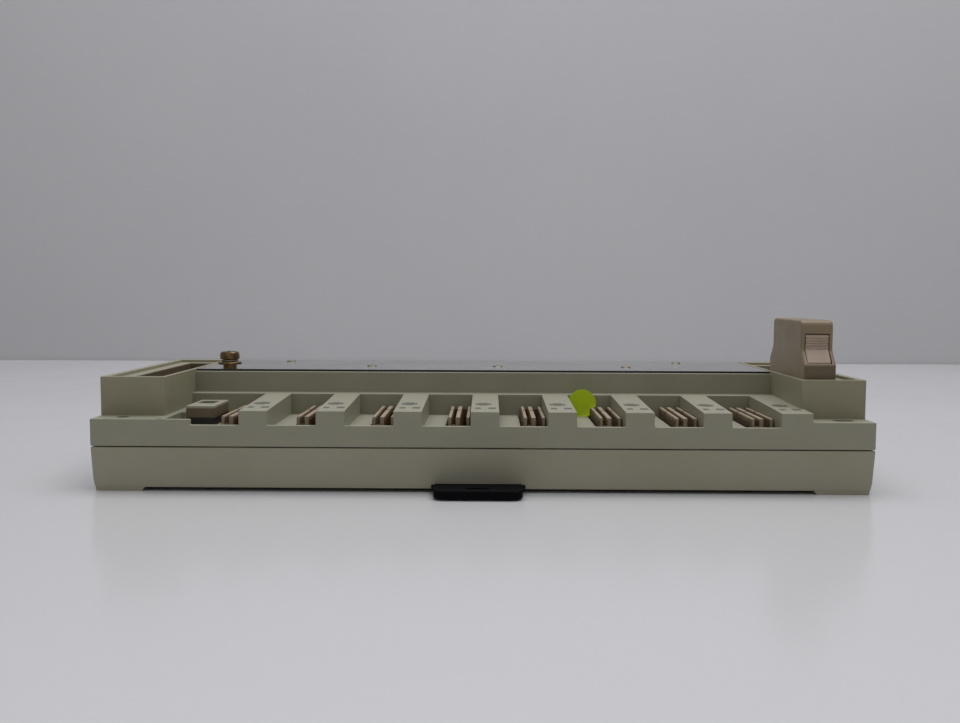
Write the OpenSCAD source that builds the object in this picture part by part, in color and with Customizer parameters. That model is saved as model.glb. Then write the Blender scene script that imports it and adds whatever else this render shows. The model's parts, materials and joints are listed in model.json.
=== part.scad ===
/* [Housing] */
// Length of the base along the module row
base_len = 355; // [354:0.5:356]
// Depth of the base, front to back
base_depth = 130; // [130:0.5:132]
// Height of the bottom shell, up to the seam
seam_z = 20.2; // [19.8:0.1:20.4]
// Height of the tops of the ribs between slots, at the front
bar_top = 36.9; // [36:0.1:37.5]
// Height of the two end shelves
shelf_top = 32.8; // [31:0.1:33.5]
// Wall thickness of the mouldings
wall = 2.4; // [2.2:0.1:2.6]

/* [Module slots] */
// Distance from one slot to the next
slot_pitch = 35; // [34.9:0.1:35]
// Width of a slot
slot_w = 22; // [21.6:0.1:22]
// Height of the front lip of a slot
lip_top = 30.2; // [29.6:0.1:30.6]

/* [Rail latch] */
// How far the latch sticks out of the front
latch_out = 18.5; // [16:0.5:20]
// Width of the latch body
latch_w = 39.4; // [38:0.2:39.8]

/* [Terminating plug] */
// Height of the top of the plug
plug_top = 78.2; // [76:0.1:79]

/* [Ground screw] */
// Diameter of the screw head
head_d = 10; // [9:0.5:11]
// Diameter of the flat washer
washer_d = 12; // [11:0.5:13]

/* [Hidden] */
$fn = 48;
hl = base_len / 2;
yf = -(base_depth + latch_out) / 2 + latch_out;
block_y = 63;
slot_len = 57;
ledge_top = 39;
block_top = 50.9;
well_x = 147.5;
floor_z = 28.4;
pcb_z = 17.6;
slot_x0 = 1.4 - 3.5 * slot_pitch;
lc = -1.5;
px = 157;
bx = -157;
py = 44.75;
rail_y = 65;
screw_x = -132.5;
screw_y = 73;
function slot_c(i) = slot_x0 + slot_pitch * i;
function slot_l(i) = slot_c(i) - slot_w / 2;
function slot_r(i) = slot_c(i) + slot_w / 2;

// A block given by its limits, with y counted back from the front face
module blk(x0, x1, y0, y1, z0, z1)
  translate([x0, yf + y0, z0]) cube([x1 - x0, y1 - y0, z1 - z0]);
// An outline in X and Z, run from front to back
module along_y(y0, y1) translate([0, yf + y1, 0]) rotate([90, 0, 0]) linear_extrude(y1 - y0) children();
// An outline in Y and Z, run from left to right
module along_x(x0, x1) translate([x0, yf, 0]) rotate([90, 0, 90]) linear_extrude(x1 - x0) children();
module upright(x, y, z0, z1, r) translate([x, yf + y, z0]) cylinder(h = z1 - z0, r = r);

// ---- housing ----
module end_profile(t, top, bot) polygon([
  [-hl + t, top], [-hl + 1 + t, 5], [-hl + 1.7 + t, bot],
  [hl - 1.7 - t, bot], [hl - 1 - t, 5], [hl - t, top]]);
module latch_bay() {
  blk(lc - 19.8, lc + 19.8, -1, 47.3, -1, 3.65);
  blk(lc - 21.35, lc + 21.35, -1, 47.3, 2.55, 3.65);
  blk(lc - 19.8, lc + 19.8, 39, 52, -1, 6.7);
  blk(lc - 3.2, lc + 3.2, 17, 37, 3, 5.8);
}
module bottom_shell() color("#6a6757") {
  difference() {
    along_y(0, base_depth) end_profile(0, seam_z, 1.7);
    difference() {
      blk(-hl + 4.2, hl - 4.2, wall, base_depth - wall, 4.2, seam_z + 1);
      blk(-hl, hl, rail_y - 20.2, rail_y + 20.2, 0, 10.4);
      blk(lc - 24, lc + 24, 0, 47, 0, 8.9);
      for (x = [-165, 165]) upright(x, 7.5, 0, seam_z + 2, 5);
      for (x = [-120, -30, 45, 120]) for (y = [8, 122]) upright(x, y, 0, 16, 3.6);
    }
    blk(-hl - 1, hl + 1, rail_y - 17.8, rail_y + 17.8, -1, 8);
    latch_bay();
    for (x = [-165, 165]) upright(x, 7.5, 0, seam_z + 3, 2.75);
    for (x = [-120, -30, 45, 120]) for (y = [8, 122]) {
      upright(x, y, 0, seam_z, 1.6);
      upright(x, y, 0, 4.4, 3);
    }
    for (x = [-100, -20, 90]) blk(x - 14, x + 14, 97, 99, 0, 6);
  }
  // fixed hooks that take the back edge of the rail
  for (x = [-120, 0, 120]) blk(x - 15, x + 15, rail_y + 15.8, rail_y + 17.9, 3.4, 6.6);
  // spring post of the latch
  blk(lc - 2.4, lc + 2.4, 18.6, 20.6, 1.2, 5.9);
}
module end_feet() color("#5f5c4d") for (s = [0, 1]) {
  x0 = s ? hl - 27.8 : -hl + 1.9;
  x1 = s ? hl - 1.9 : -hl + 24.8;
  difference() {
    union() {
      blk(x0, x1, 0.2, rail_y - 18.4, 0, 1.7);
      blk(x0, x1, rail_y + 18.4, base_depth - 0.2, 0, 1.7);
    }
    upright(s ? 165 : -165, 7.5, -1, 3, 4.6);
  }
}
module slot_deck() color("#87836f") difference() {
  union() {
    blk(-well_x, well_x, 0, slot_len, seam_z, floor_z);
    // lip along the whole front, low in the slots and high at the left end
    blk(-well_x, slot_r(7) + 0.5, 0, 2.5, seam_z, lip_top);
    blk(-well_x, slot_l(0), 0, 2.5, seam_z, shelf_top);
    // ledge and hook rib along the left well
    blk(-well_x, -well_x + 3, 0, slot_len, seam_z, shelf_top);
    blk(-well_x, -well_x + 6, 28, 30, seam_z, shelf_top);
  }
  blk(-well_x + 2.4, well_x - 2.4, wall, slot_len - 1, seam_z - 1, floor_z - 2.2);
  for (i = [0:7]) blk(slot_l(i) + 10, slot_r(i), 2.5, 56.2, seam_z - 1, floor_z + 1);
  blk(-140.1, -124.1, 12.5, 39.5, seam_z - 1, floor_z + 1);
  for (i = [0:6]) blk(slot_r(i) - 1, slot_l(i + 1) + 1, -1, 2.5, lip_top - 1e-3, lip_top + 5);
}
// a rib rises a little towards the ledge behind the slots
module rib(x0, x1) difference() {
  along_x(x0, x1) polygon([[0, floor_z], [0, bar_top], [slot_len, ledge_top], [slot_len, floor_z]]);
  blk(x0 + 2, x1 - 2, 2.6, slot_len - 2.4, floor_z - 1, bar_top - 2);
}
module slot_ribs() color("#8c8977") difference() {
  union() {
    for (i = [0:6]) rib(slot_r(i), slot_l(i + 1));
    rib(slot_r(7), well_x);
  }
  // the deck's lip passes under the front of each rib
  blk(-well_x, slot_r(7) + 0.5, -1, 2.5, floor_z - 1, lip_top);
}
module rear_block() color("#6f6c5b") difference() {
  union() {
    blk(-well_x, well_x, block_y, base_depth, seam_z, 49.6);
    // ledge behind the slots
    blk(-well_x, well_x, slot_len, block_y + 1, seam_z, ledge_top);
  }
  blk(-well_x + 2.4, well_x - 2.4, block_y + 2.4, base_depth - 3.4, seam_z - 1, 47.2);
  blk(-well_x + 2.4, well_x - 2.4, slot_len + 2, block_y + 3, seam_z - 1, ledge_top - 2.2);
  blk(-well_x - 1, well_x + 1, base_depth - 1, base_depth + 1, 40, 60);
  upright(screw_x, screw_y, 40, 60, 3.6);
  for (x = [-60, 8, 77]) upright(x, 90, 40, 60, 1.6);
  for (x = [-110, 110]) upright(x, 122, 40, 60, 1.6);
}
module well_shell(s) difference() {
  union() {
    blk(s < 0 ? -hl : well_x, s < 0 ? -well_x : hl, 13.2, base_depth, seam_z, block_top);
    blk(s < 0 ? -hl : well_x, s < 0 ? -well_x : hl, 0, 13.3, seam_z, shelf_top);
  }
  // deep opening, ledge and the hollow under the ledge
  blk(s < 0 ? -168.1 : 149.3, s < 0 ? -149.3 : 168.1, 15.8, 121, 24, 60);
  blk(s < 0 ? -174.1 : 149.3, s < 0 ? -149.3 : 174.1, 15.8, 126.4, 49.4, 60);
  blk(s < 0 ? -175 : 170.2, s < 0 ? -170.2 : 175, 15.8, 127.4, seam_z - 1, 45.4);
  blk(s < 0 ? -175 : 149.6, s < 0 ? -149.6 : 175, 123, 127.4, seam_z - 1, 45.4);
  blk(s < 0 ? -175 : 149.6, s < 0 ? -149.6 : 175, 15.8, 127.4, seam_z - 1, 21.8);
  blk(s < 0 ? bx - 6.9 : px - 6.9, s < 0 ? bx + 6.9 : px + 6.9, py - 23.9, py + 23.9, 20, 30);
  difference() {
    blk(s < 0 ? -175 : 149.6, s < 0 ? -149.6 : 175, 2.4, 13.2, seam_z - 1, shelf_top - 2.4);
    upright(s * 165, 7.5, 0, 60, 5);
  }
  upright(s * 165, 7.5, 0, 60, 2.75);
}
module in_well() color("#59563f") well_shell(-1);
module out_well() color("#5d5a4a") difference() {
  well_shell(1);
  // oblong sink round the right-hand mounting hole
  for (x = [-1.8, 1.8]) upright(165 + x, 7.5, shelf_top - 1.4, 60, 3);
  blk(163.2, 166.8, 4.5, 10.5, shelf_top - 1.4, 60);
}
module ground_plate() color("#b9b9b6") difference() {
  union() {
    blk(-well_x, well_x, block_y + 1.2, base_depth, 49.6, 50.6);
    blk(-well_x, well_x, base_depth - 1, base_depth, 41, 50);
  }
  upright(screw_x, screw_y, 40, 60, 3.5);
  for (x = [-60, 8, 77]) upright(x, 90, 40, 60, 2);
  for (x = [-110, 110]) upright(x, 122, 40, 60, 2);
}
module small_screw(x, y, z) {
  upright(x, y, z, z + 0.5, 2.6);
  upright(x, y, z - 8, z, 1.55);
}
module plate_screws() color("#3a3833") {
  for (x = [-60, 8, 77]) small_screw(x, 90, 50.6);
  for (x = [-110, 110]) small_screw(x, 122, 50.6);
}
module backplane_board() color("#2e5a3a") difference() {
  blk(-hl + 6, hl - 6, 3.5, base_depth - 4, 16, pcb_z);
  for (x = [-165, 165]) upright(x, 7.5, 0, 60, 5.4);
  for (x = [-120, -30, 45, 120]) for (y = [8, 122]) upright(x, y, 0, 60, 1.7);
}
module board_parts() color("#1e1e20") {
  for (i = [0:7]) upright(slot_c(i) - 6, 82, pcb_z, 29, 4);
  for (i = [0:6]) blk(slot_c(i) + 4, slot_c(i) + 11, 92, 112, pcb_z, 21.4);
  for (i = [0:6]) blk(slot_c(i) + 17, slot_c(i) + 19.4, 90, 113, pcb_z, 23);
}
module housing_screws() color("#8f8f8a") for (x = [-120, -30, 45, 120]) for (y = [8, 122]) {
  upright(x, y, 2.2, 4.4, 2.8);
  upright(x, y, 4.4, seam_z - 0.2, 1.5);
}

// ---- module connectors ----
module slot_housing(i) color("#5a4a37") {
  x = slot_l(i);
  difference() {
    blk(x + 11.2, x + 21.6, 11.2, 55.8, pcb_z, 32.2);
    blk(x + 12.4, x + 14.9, 12.6, 54.4, 22, 40);
    blk(x + 17.1, x + 19.9, 12.6, 54.4, 22, 40);
    // keying breaks
    blk(x + 11, x + 14, 38, 40, 27, 40);
    blk(x + 19.8, x + 22, 38, 40, 27, 40);
    for (k = [0:19]) blk(x + 11, x + 11.6, 14 + 2 * k, 14.8 + 2 * k, 20, 31);
  }
  // raised strips on the tongue and the right wall
  blk(x + 15.1, x + 16.9, 12, 37.6, 32.2, 33);
  blk(x + 15.1, x + 16.9, 40.4, 55, 32.2, 33);
  blk(x + 20.1, x + 21.3, 12, 37.6, 32.2, 33);
  blk(x + 20.1, x + 21.3, 40.4, 55, 32.2, 33);
}
module slot_contacts(i) color("#c9a54a") {
  x = slot_l(i);
  for (k = [0:19]) {
    blk(x + 14.5, x + 14.9, 14 + 2 * k, 15 + 2 * k, 22, 31.6);
    blk(x + 17.1, x + 17.5, 14 + 2 * k, 15 + 2 * k, 22, 31.6);
  }
}
module slot_1_housing() slot_housing(0);
module slot_2_housing() slot_housing(1);
module slot_3_housing() slot_housing(2);
module slot_4_housing() slot_housing(3);
module slot_5_housing() slot_housing(4);
module slot_6_housing() slot_housing(5);
module slot_7_housing() slot_housing(6);
module slot_8_housing() slot_housing(7);
module slot_1_contacts() slot_contacts(0);
module slot_2_contacts() slot_contacts(1);
module slot_3_contacts() slot_contacts(2);
module slot_4_contacts() slot_contacts(3);
module slot_5_contacts() slot_contacts(4);
module slot_6_contacts() slot_contacts(5);
module slot_7_contacts() slot_contacts(6);
module slot_8_contacts() slot_contacts(7);

// ---- end connectors: a shroud with a tongue, and a catch at each end ----
module well_connector(x) {
  difference() {
    blk(x - 6.5, x + 6.5, py - 23.5, py + 23.5, pcb_z, 44);
    blk(x - 5, x + 5, py - 22, py + 22, 26, 50);
  }
  blk(x - 1.2, x + 1.2, py - 20.5, py + 20.5, 25, 41);
}
module well_contacts(x) for (k = [0:19]) for (m = [-1, 1])
  blk(x + (m < 0 ? -1.5 : 1.2), x + (m < 0 ? -1.2 : 1.5), py - 19.4 + 2 * k, py - 18.6 + 2 * k, 26, 40);
// bent spring clips that the plug's hooks snap under
module well_clips(x) for (m = [0, 1]) translate([0, m * 2 * (yf + py), 0]) mirror([0, m, 0])
  along_x(x - 3.2, x + 3.2) polygon([[21.25, 30], [20.9, 30], [20.9, 41.6], [20, 42.2], [20, 42.8],
    [20.9, 43.9], [21.25, 43.9]]);
module in_clips() color("#9b9c9a") well_clips(bx);
module out_clips() color("#9b9c9a") well_clips(px);
module in_connector() color("#4a3c2c") well_connector(bx);
module in_contacts() color("#c9a54a") well_contacts(bx);
module out_connector() color("#4a3c2c") well_connector(px);
module out_contacts() color("#c9a54a") well_contacts(px);

// ---- ground screw ----
module ground_boss() color("#a58a55") difference() {
  upright(screw_x, screw_y, 49.6, 52.4, 3.5);
  upright(screw_x, screw_y, 40, 60, 2.5);
}
module ground_strap() color("#a9a9a4") {
  blk(-138, -134.4, 84, 90, 46.2, 47.2);
  blk(-138, -137.2, 84, 90, pcb_z, 46.3);
}
module ground_screw() color("#b08d57") difference() {
  union() {
    upright(screw_x, screw_y, 42, 56, 2.44);
    upright(screw_x, screw_y, 55.2, 58, head_d / 2);
    translate([screw_x, yf + screw_y, 58 - 9.2]) intersection() {
      sphere(r = 10.5, $fn = 64);
      translate([0, 0, 9.2]) cylinder(h = 2, r = head_d / 2);
    }
  }
  blk(screw_x - 3, screw_x + 3, screw_y - 0.5, screw_y + 0.5, 57.6, 62);
  blk(screw_x - 0.5, screw_x + 0.5, screw_y - 3, screw_y + 3, 57.6, 62);
}
module spring_washer() color("#9a9183") difference() {
  upright(screw_x, screw_y, 53.62, 55.2, 4.3);
  upright(screw_x, screw_y, 50, 60, 2.6);
  blk(screw_x - 0.3, screw_x + 0.3, screw_y - 6, screw_y, 50, 60);
}
module flat_washer() color("#b8955c") difference() {
  upright(screw_x, screw_y, 52.42, 53.62, washer_d / 2);
  upright(screw_x, screw_y, 50, 60, 2.6);
}

// ---- rack number switch beside slot 1 ----
module switch_body() color("#17171a") difference() {
  blk(-137.8, -124.4, 13, 39, pcb_z, 32);
  blk(-137, -127.2, 23.4, 36.6, 30, 40);
}
module switch_cap() color("#8f8b78") difference() {
  blk(-137.8, -124.4, 13, 39, 32, 37.4);
  blk(-136.2, -128, 24.4, 35.6, 31, 40);
}
module switch_slider() color("#222226") {
  blk(-136.8, -127.4, 24, 31.2, 30.1, 31.9);
  blk(-134.1, -130.1, 26, 29.6, 31.8, 36.6);
}
module inspection_dot() color("#7f9a06") difference() {
  translate([49.9, yf + 51.3, 35.2]) rotate([90, 0, 0]) cylinder(h = 0.3, r = 7);
  blk(slot_l(5) + 11.1, slot_l(5) + 30, 40, 60, 20, 33.1);
  blk(slot_l(5) - 5, slot_l(5) + 30, 40, 60, 20, 28.5);
}

// ---- rail latch ----
module din_latch() color("#151518") difference() {
  w = latch_w / 2;
  union() {
    translate([lc, yf, 0]) {
      translate([0, 0, 0.7]) linear_extrude(2.9) polygon([[-w, 46], [-w, 6 - latch_out],
        [-w + 0.9, 2.6 - latch_out], [-w + 2.9, 0.7 - latch_out], [-w + 6, -latch_out],
        [w - 6, -latch_out], [w - 2.9, 0.7 - latch_out], [w - 0.9, 2.6 - latch_out],
        [w, 6 - latch_out], [w, 46]]);
      // thick grip outside the housing
      translate([0, 0, 0.7]) linear_extrude(3.7) polygon([[-w, -1.2], [-w, 6 - latch_out],
        [-w + 0.9, 2.6 - latch_out], [-w + 2.9, 0.7 - latch_out], [-w + 6, -latch_out],
        [w - 6, -latch_out], [w - 2.9, 0.7 - latch_out], [w - 0.9, 2.6 - latch_out],
        [w, 6 - latch_out], [w, -1.2]]);
      translate([0, 0, 2.62]) linear_extrude(0.98) polygon([[-21.3, 41.5], [-21.3, -2],
        [-w + 0.1, 8 - latch_out], [w - 0.1, 8 - latch_out], [21.3, -2], [21.3, 41.5]]);
    }
    // nose that hooks under the front edge of the rail
    along_x(lc - 19.7, lc + 19.7) polygon([[44.4, 0.7], [47.4, 0.7], [49.2, 3.4], [49.2, 6.5], [44.4, 6.5]]);
  }
  blk(lc - 3.2, lc + 3.2, 13.4, 36, 0, 8);
  blk(lc - 5, lc + 5, 5 - latch_out, 7.6 - latch_out, 0, 8);
}
// A coil of round wire along Y: a ring of points swept round the axis
module coil(y0, len, turns, r, w) {
  n = turns * 16;
  pts = [for (i = [0:n]) for (j = [0:7]) let (a = 22.5 * i, b = 45 * j)
    [(r + w * cos(b)) * cos(a), y0 + w + (len - 2 * w) * i / n + w * sin(b), (r + w * cos(b)) * sin(a)]];
  polyhedron(points = pts, faces = concat(
    [for (i = [0:n - 1]) for (j = [0:7]) [8 * i + j, 8 * i + (j + 1) % 8, 8 * i + 8 + (j + 1) % 8]],
    [for (i = [0:n - 1]) for (j = [0:7]) [8 * i + j, 8 * i + 8 + (j + 1) % 8, 8 * i + 8 + j]],
    [[for (j = [7:-1:0]) j]], [[for (j = [0:7]) 8 * n + j]]));
}
module latch_spring() color("#8a8c90") translate([lc, yf, 3.2]) coil(20.7, 15.2, 7, 1.7, 0.34);

// ---- terminating plug ----
module plug_side(t) polygon([[16.5 + t, 44.1], [16.5 + t, 57.6 - t / 3], [22 + t, 64.2 - t / 3], [22 + t, plug_top - 4],
  [22.9 + t, plug_top - 1.8 - t / 2], [25.6 + t / 2, plug_top - t], [63.9 - t / 2, plug_top - t],
  [66.6 - t, plug_top - 1.8 - t / 2], [67.5 - t, plug_top - 4], [67.5 - t, 64.2 - t / 3],
  [73 - t, 57.6 - t / 3], [73 - t, 44.1]]);
module plug_end() polygon([[px - 7.5, 44.1], [px - 7.5, plug_top - 1.6], [px - 6.1, plug_top],
  [px + 6.1, plug_top], [px + 7.5, plug_top - 1.6], [px + 7.5, 44.1]]);
module plug_hood() difference() {
  intersection() {
    along_x(px - 8, px + 8) plug_side(0);
    along_y(16, 74) plug_end();
  }
  blk(px - 5, px + 5, 28.6, 60.9, 44, plug_top - 1.8);
  blk(px - 5.85, px + 5.85, 22.3, 67.2, 44, 47.2);
  // a bay at each end for the lever, open through the end above the flange
  for (m = [0, 1]) {
    blk(px - 5.8, px + 5.8, m ? 62.5 : 20, m ? 69.5 : 27, 59, 71.9);
    blk(px - 5.8, px + 5.8, m ? 67.3 : 17.7, m ? 71.8 : 22.2, 44, 63);
    blk(px - 5.8, px + 5.8, m ? 67 : 10, m ? 80 : 22.5, 58, 71.9);
    blk(px - 5.8, px + 5.8, m ? 71 : 10, m ? 80 : 18, 44, 49);
    y = m ? 69.6 : 19.9;
    along_x(px - 6.6, px + 6.6) translate([y, 54]) circle(r = 0.9);
  }
  for (z = [66, 51]) along_x(px - 8, px + 8) translate([py, z]) circle(r = 1.3);
  for (z = [66, 51]) along_x(px + 5.6, px + 8) translate([py, z]) circle(r = 2.3);
}
module hood_post(side) for (z = [66, 51]) difference() {
  along_x(side < 0 ? px - 5.1 : px, side < 0 ? px : px + 5.1) translate([py, z]) circle(r = 3);
  along_x(px - 8, px + 8) translate([py, z]) circle(r = 1.3);
}
module plug_hood_left() color("#75695a") {
  difference() {
    plug_hood();
    blk(px, px + 20, 0, 90, 0, 90);
  }
  hood_post(-1);
}
module plug_hood_right() color("#75695a") {
  difference() {
    plug_hood();
    blk(px - 20, px, 0, 90, 0, 90);
  }
  hood_post(1);
}
module plug_insert() color("#3f3324") difference() {
  union() {
    blk(px - 4.7, px + 4.7, py - 21.7, py + 21.7, 28, 45);
    blk(px - 5.75, px + 5.75, py - 22.3, py + 22.3, 44.2, 47.1);
  }
  blk(px - 2, px + 2, py - 21, py + 21, 20, 42);
}
module plug_contacts() color("#c9a54a") for (k = [0:19]) for (m = [-1, 1])
  blk(px + (m < 0 ? -2 : 1.65), px + (m < 0 ? -1.65 : 2), py - 19.4 + 2 * k, py - 18.6 + 2 * k, 29, 41);
module plug_board() color("#2e5a3a") difference() {
  blk(px - 0.5, px + 0.5, 29.4, 60.1, 47.1, 72);
  for (z = [66, 51]) along_x(px - 8, px + 8) translate([py, z]) circle(r = 3.2);
}
module plug_resistors() color("#202024") for (z = [56.5, 61]) for (y = [30.5, 48.6])
  for (m = [-1, 1]) blk(px + (m < 0 ? -3 : 0.5), px + (m < 0 ? -0.5 : 3), y, y + 10.4, z - 1.6, z + 1.6);
module plug_screws() color("#9a9a96") for (z = [66, 51]) {
  along_x(px - 5, px + 5.7) translate([py, z]) circle(r = 1.25);
  along_x(px + 5.6, px + 7) translate([py, z]) circle(r = 2.2);
}
// squeeze lever seen from its side, front one; ridges near the top
module lever_side() polygon([[18.3, 52], [18.0, 54], [18.0, 56.4], [17.9, 58.6], [22.2, 64.8], [22.2, 65.6], [21.7, 66],
  [21.7, 66.6], [22.4, 66.9], [22.4, 67.2], [21.7, 67.5], [21.7, 68.1], [22.4, 68.4], [22.4, 68.7],
  [21.7, 69], [21.7, 69.6], [22.4, 69.9], [22.4, 70.2], [21.7, 70.5], [21.7, 71.4],
  [24.3, 71.4], [24.3, 64.4], [21.6, 59.4], [21.7, 56], [21.7, 53], [20.4, 51.4], [19.8, 50],
  [19.8, 41.6], [20.6, 41.6], [20.6, 40.6], [20, 39.9], [18.3, 39.9]]);
module lever() difference() {
  union() {
    along_x(px - 5.5, px + 5.5) intersection() {
      lever_side();
      translate([0, 52]) square([40, 40]);
    }
    along_x(px - 4, px + 4) intersection() {
      lever_side();
      translate([0, 30]) square([40, 22.01]);
    }
  }
  along_x(px - 8, px + 8) translate([19.9, 54]) circle(r = 0.95);
}
module lever_front() color("#857a6e") lever();
module lever_rear() color("#857a6e")
  translate([0, 2 * (yf + py), 0]) mirror([0, 1, 0]) lever();
module lever_pins() color("#9a9a96") for (y = [19.9, 2 * py - 19.9])
  along_x(px - 6.6, px + 6.6) translate([y, 54]) circle(r = 0.9);
// bent leaf that pushes the lever's head out again
module leaf_spring() along_x(px - 2, px + 2) polygon([[26.65, 60.5], [26.95, 60.5], [26.95, 66],
  [24.7, 70.6], [24.4, 70.4], [26.65, 65.9]]);
module lever_spring_front() color("#8a8c90") leaf_spring();
module lever_spring_rear() color("#8a8c90")
  translate([0, 2 * (yf + py), 0]) mirror([0, 1, 0]) leaf_spring();

bottom_shell();
end_feet();
slot_deck();
slot_ribs();
rear_block();
in_well();
out_well();
ground_plate();
plate_screws();
backplane_board();
board_parts();
housing_screws();
slot_1_housing();
slot_2_housing();
slot_3_housing();
slot_4_housing();
slot_5_housing();
slot_6_housing();
slot_7_housing();
slot_8_housing();
slot_1_contacts();
slot_2_contacts();
slot_3_contacts();
slot_4_contacts();
slot_5_contacts();
slot_6_contacts();
slot_7_contacts();
slot_8_contacts();
in_connector();
in_contacts();
in_clips();
out_connector();
out_contacts();
out_clips();
ground_boss();
ground_strap();
ground_screw();
spring_washer();
flat_washer();
switch_body();
switch_cap();
switch_slider();
inspection_dot();
din_latch();
latch_spring();
plug_hood_left();
plug_hood_right();
plug_insert();
plug_contacts();
plug_board();
plug_resistors();
plug_screws();
lever_front();
lever_rear();
lever_pins();
lever_spring_front();
lever_spring_rear();
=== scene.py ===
"""Looks of a module base with a terminating plug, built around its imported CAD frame.

Sizes are in millimetres. x and z are those of the row frame, and y is counted back from the housing's front face,
as in the CAD source. Piece.mesh turns such points into metres of the row frame.
"""

import sys

import json
import logging
import math
from dataclasses import dataclass, field
from enum import Enum
from typing import Callable, Iterable, Sequence

import bpy
import numpy as np
from mathutils import Matrix, Vector

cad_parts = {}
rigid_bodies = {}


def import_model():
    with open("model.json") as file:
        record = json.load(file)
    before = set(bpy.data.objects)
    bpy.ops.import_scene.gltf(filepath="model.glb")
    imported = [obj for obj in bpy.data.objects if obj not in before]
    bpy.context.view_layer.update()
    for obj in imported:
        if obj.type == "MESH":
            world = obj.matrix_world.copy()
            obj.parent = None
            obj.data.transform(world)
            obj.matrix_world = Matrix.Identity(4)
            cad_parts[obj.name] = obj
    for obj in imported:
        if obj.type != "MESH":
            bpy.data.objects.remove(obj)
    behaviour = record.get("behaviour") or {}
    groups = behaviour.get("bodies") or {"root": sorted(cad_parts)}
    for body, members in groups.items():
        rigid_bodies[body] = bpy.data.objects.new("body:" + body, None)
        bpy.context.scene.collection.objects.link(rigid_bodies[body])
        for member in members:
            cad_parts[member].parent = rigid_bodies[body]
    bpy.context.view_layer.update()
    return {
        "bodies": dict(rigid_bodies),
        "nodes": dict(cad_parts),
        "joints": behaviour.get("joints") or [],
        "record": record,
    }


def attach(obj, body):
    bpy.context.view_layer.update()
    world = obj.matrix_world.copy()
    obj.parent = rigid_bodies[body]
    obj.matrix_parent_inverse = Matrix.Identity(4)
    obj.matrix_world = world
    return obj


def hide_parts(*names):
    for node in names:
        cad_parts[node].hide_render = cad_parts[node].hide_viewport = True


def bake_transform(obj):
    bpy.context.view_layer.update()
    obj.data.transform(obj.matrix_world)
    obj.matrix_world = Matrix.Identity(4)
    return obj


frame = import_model()

LOG = logging.getLogger("scene")
LOG.setLevel(logging.INFO)
LOG.addHandler(logging.StreamHandler(sys.stdout))
LOG.propagate = False

FRONT_Y = -55.75  # row Y of the housing's front face, in mm
HALF = 177.5  # half the housing's length
DEPTH = 130.0  # of the housing, front to rear
PITCH = 35.0  # from one slot to the next
SLOT_W = 22.0
SLOTS = 8
SLOT_ROW_X = 1.4  # middle of the row of slots
SHELF_HOLE_X, SHELF_HOLE_Y = 165.0, 7.5  # mounting hole in each end shelf
EARTH = (-132.5, 73.0)  # x and y of the ground screw
SHELL_SCREWS = tuple((x, y) for x in (-120, -30, 45, 120) for y in (8, 122))
END_X, END_Y = 157.0, 44.75  # middle of an end connector, and of the plug
CONTACTS = 20  # in each row of a connector
CROSS = ((1.4, 0.3), (0.3, 1.4))  # half sizes of the two arms of a cross recess


class Body(str, Enum):
    """The CAD bodies that pieces ride on."""

    BASE = "base"
    LATCH = "latch"
    SCREW = "screw"
    SLIDER = "slider"
    PLUG = "plug"
    FRONT_LEVER = "front_lever"
    REAR_LEVER = "rear_lever"


class Axis(Enum):
    """The axis that a prism or lathe runs along, with the order in which (u, v, w) become (x, y, z)."""

    X = 0  # outline in (y, z)
    Y = 1  # outline in (x, z)
    Z = 2  # outline in (x, y)


def slot_left(i: int) -> float:
    """Left edge of slot i, counted from 0.

    Args:
        i: index of the slot.

    Returns:
        The X of the slot's left edge in mm.
    """
    return SLOT_ROW_X + PITCH * (i - (SLOTS - 1) / 2) - SLOT_W / 2


def slot_right(i: int) -> float:
    """Right edge of slot i.

    Args:
        i: index of the slot.

    Returns:
        The X of the slot's right edge in mm.
    """
    return slot_left(i) + SLOT_W


def linear(code: str) -> tuple[float, float, float, float]:
    """Turns an sRGB hex colour into linear light.

    Args:
        code: colour such as "#8a8776".

    Returns:
        Red, green, blue and an alpha of 1, all linear.
    """
    c = np.array([int(code[k : k + 2], 16) / 255.0 for k in (1, 3, 5)])
    out = np.where(c <= 0.04045, c / 12.92, ((c + 0.055) / 1.055) ** 2.4)
    return (float(out[0]), float(out[1]), float(out[2]), 1.0)


# ---------------------------------------------------------------- materials


def add_node(mat: bpy.types.Material, kind: str, inputs: dict | None = None, **settings) -> bpy.types.Node:
    """Adds one shader node with its settings and links.

    Args:
        mat: material that the node is added to.
        kind: node type, such as "ShaderNodeTexNoise".
        inputs: socket name or index to a value, or to another node's output socket, which is linked.
        **settings: attributes of the node.

    Returns:
        The new node.
    """
    node = mat.node_tree.nodes.new(kind)
    for key, value in settings.items():
        setattr(node, key, value)
    for key, value in (inputs or {}).items():
        if isinstance(value, bpy.types.NodeSocket):
            mat.node_tree.links.new(value, node.inputs[key])
        else:
            node.inputs[key].default_value = value
    return node


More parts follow.
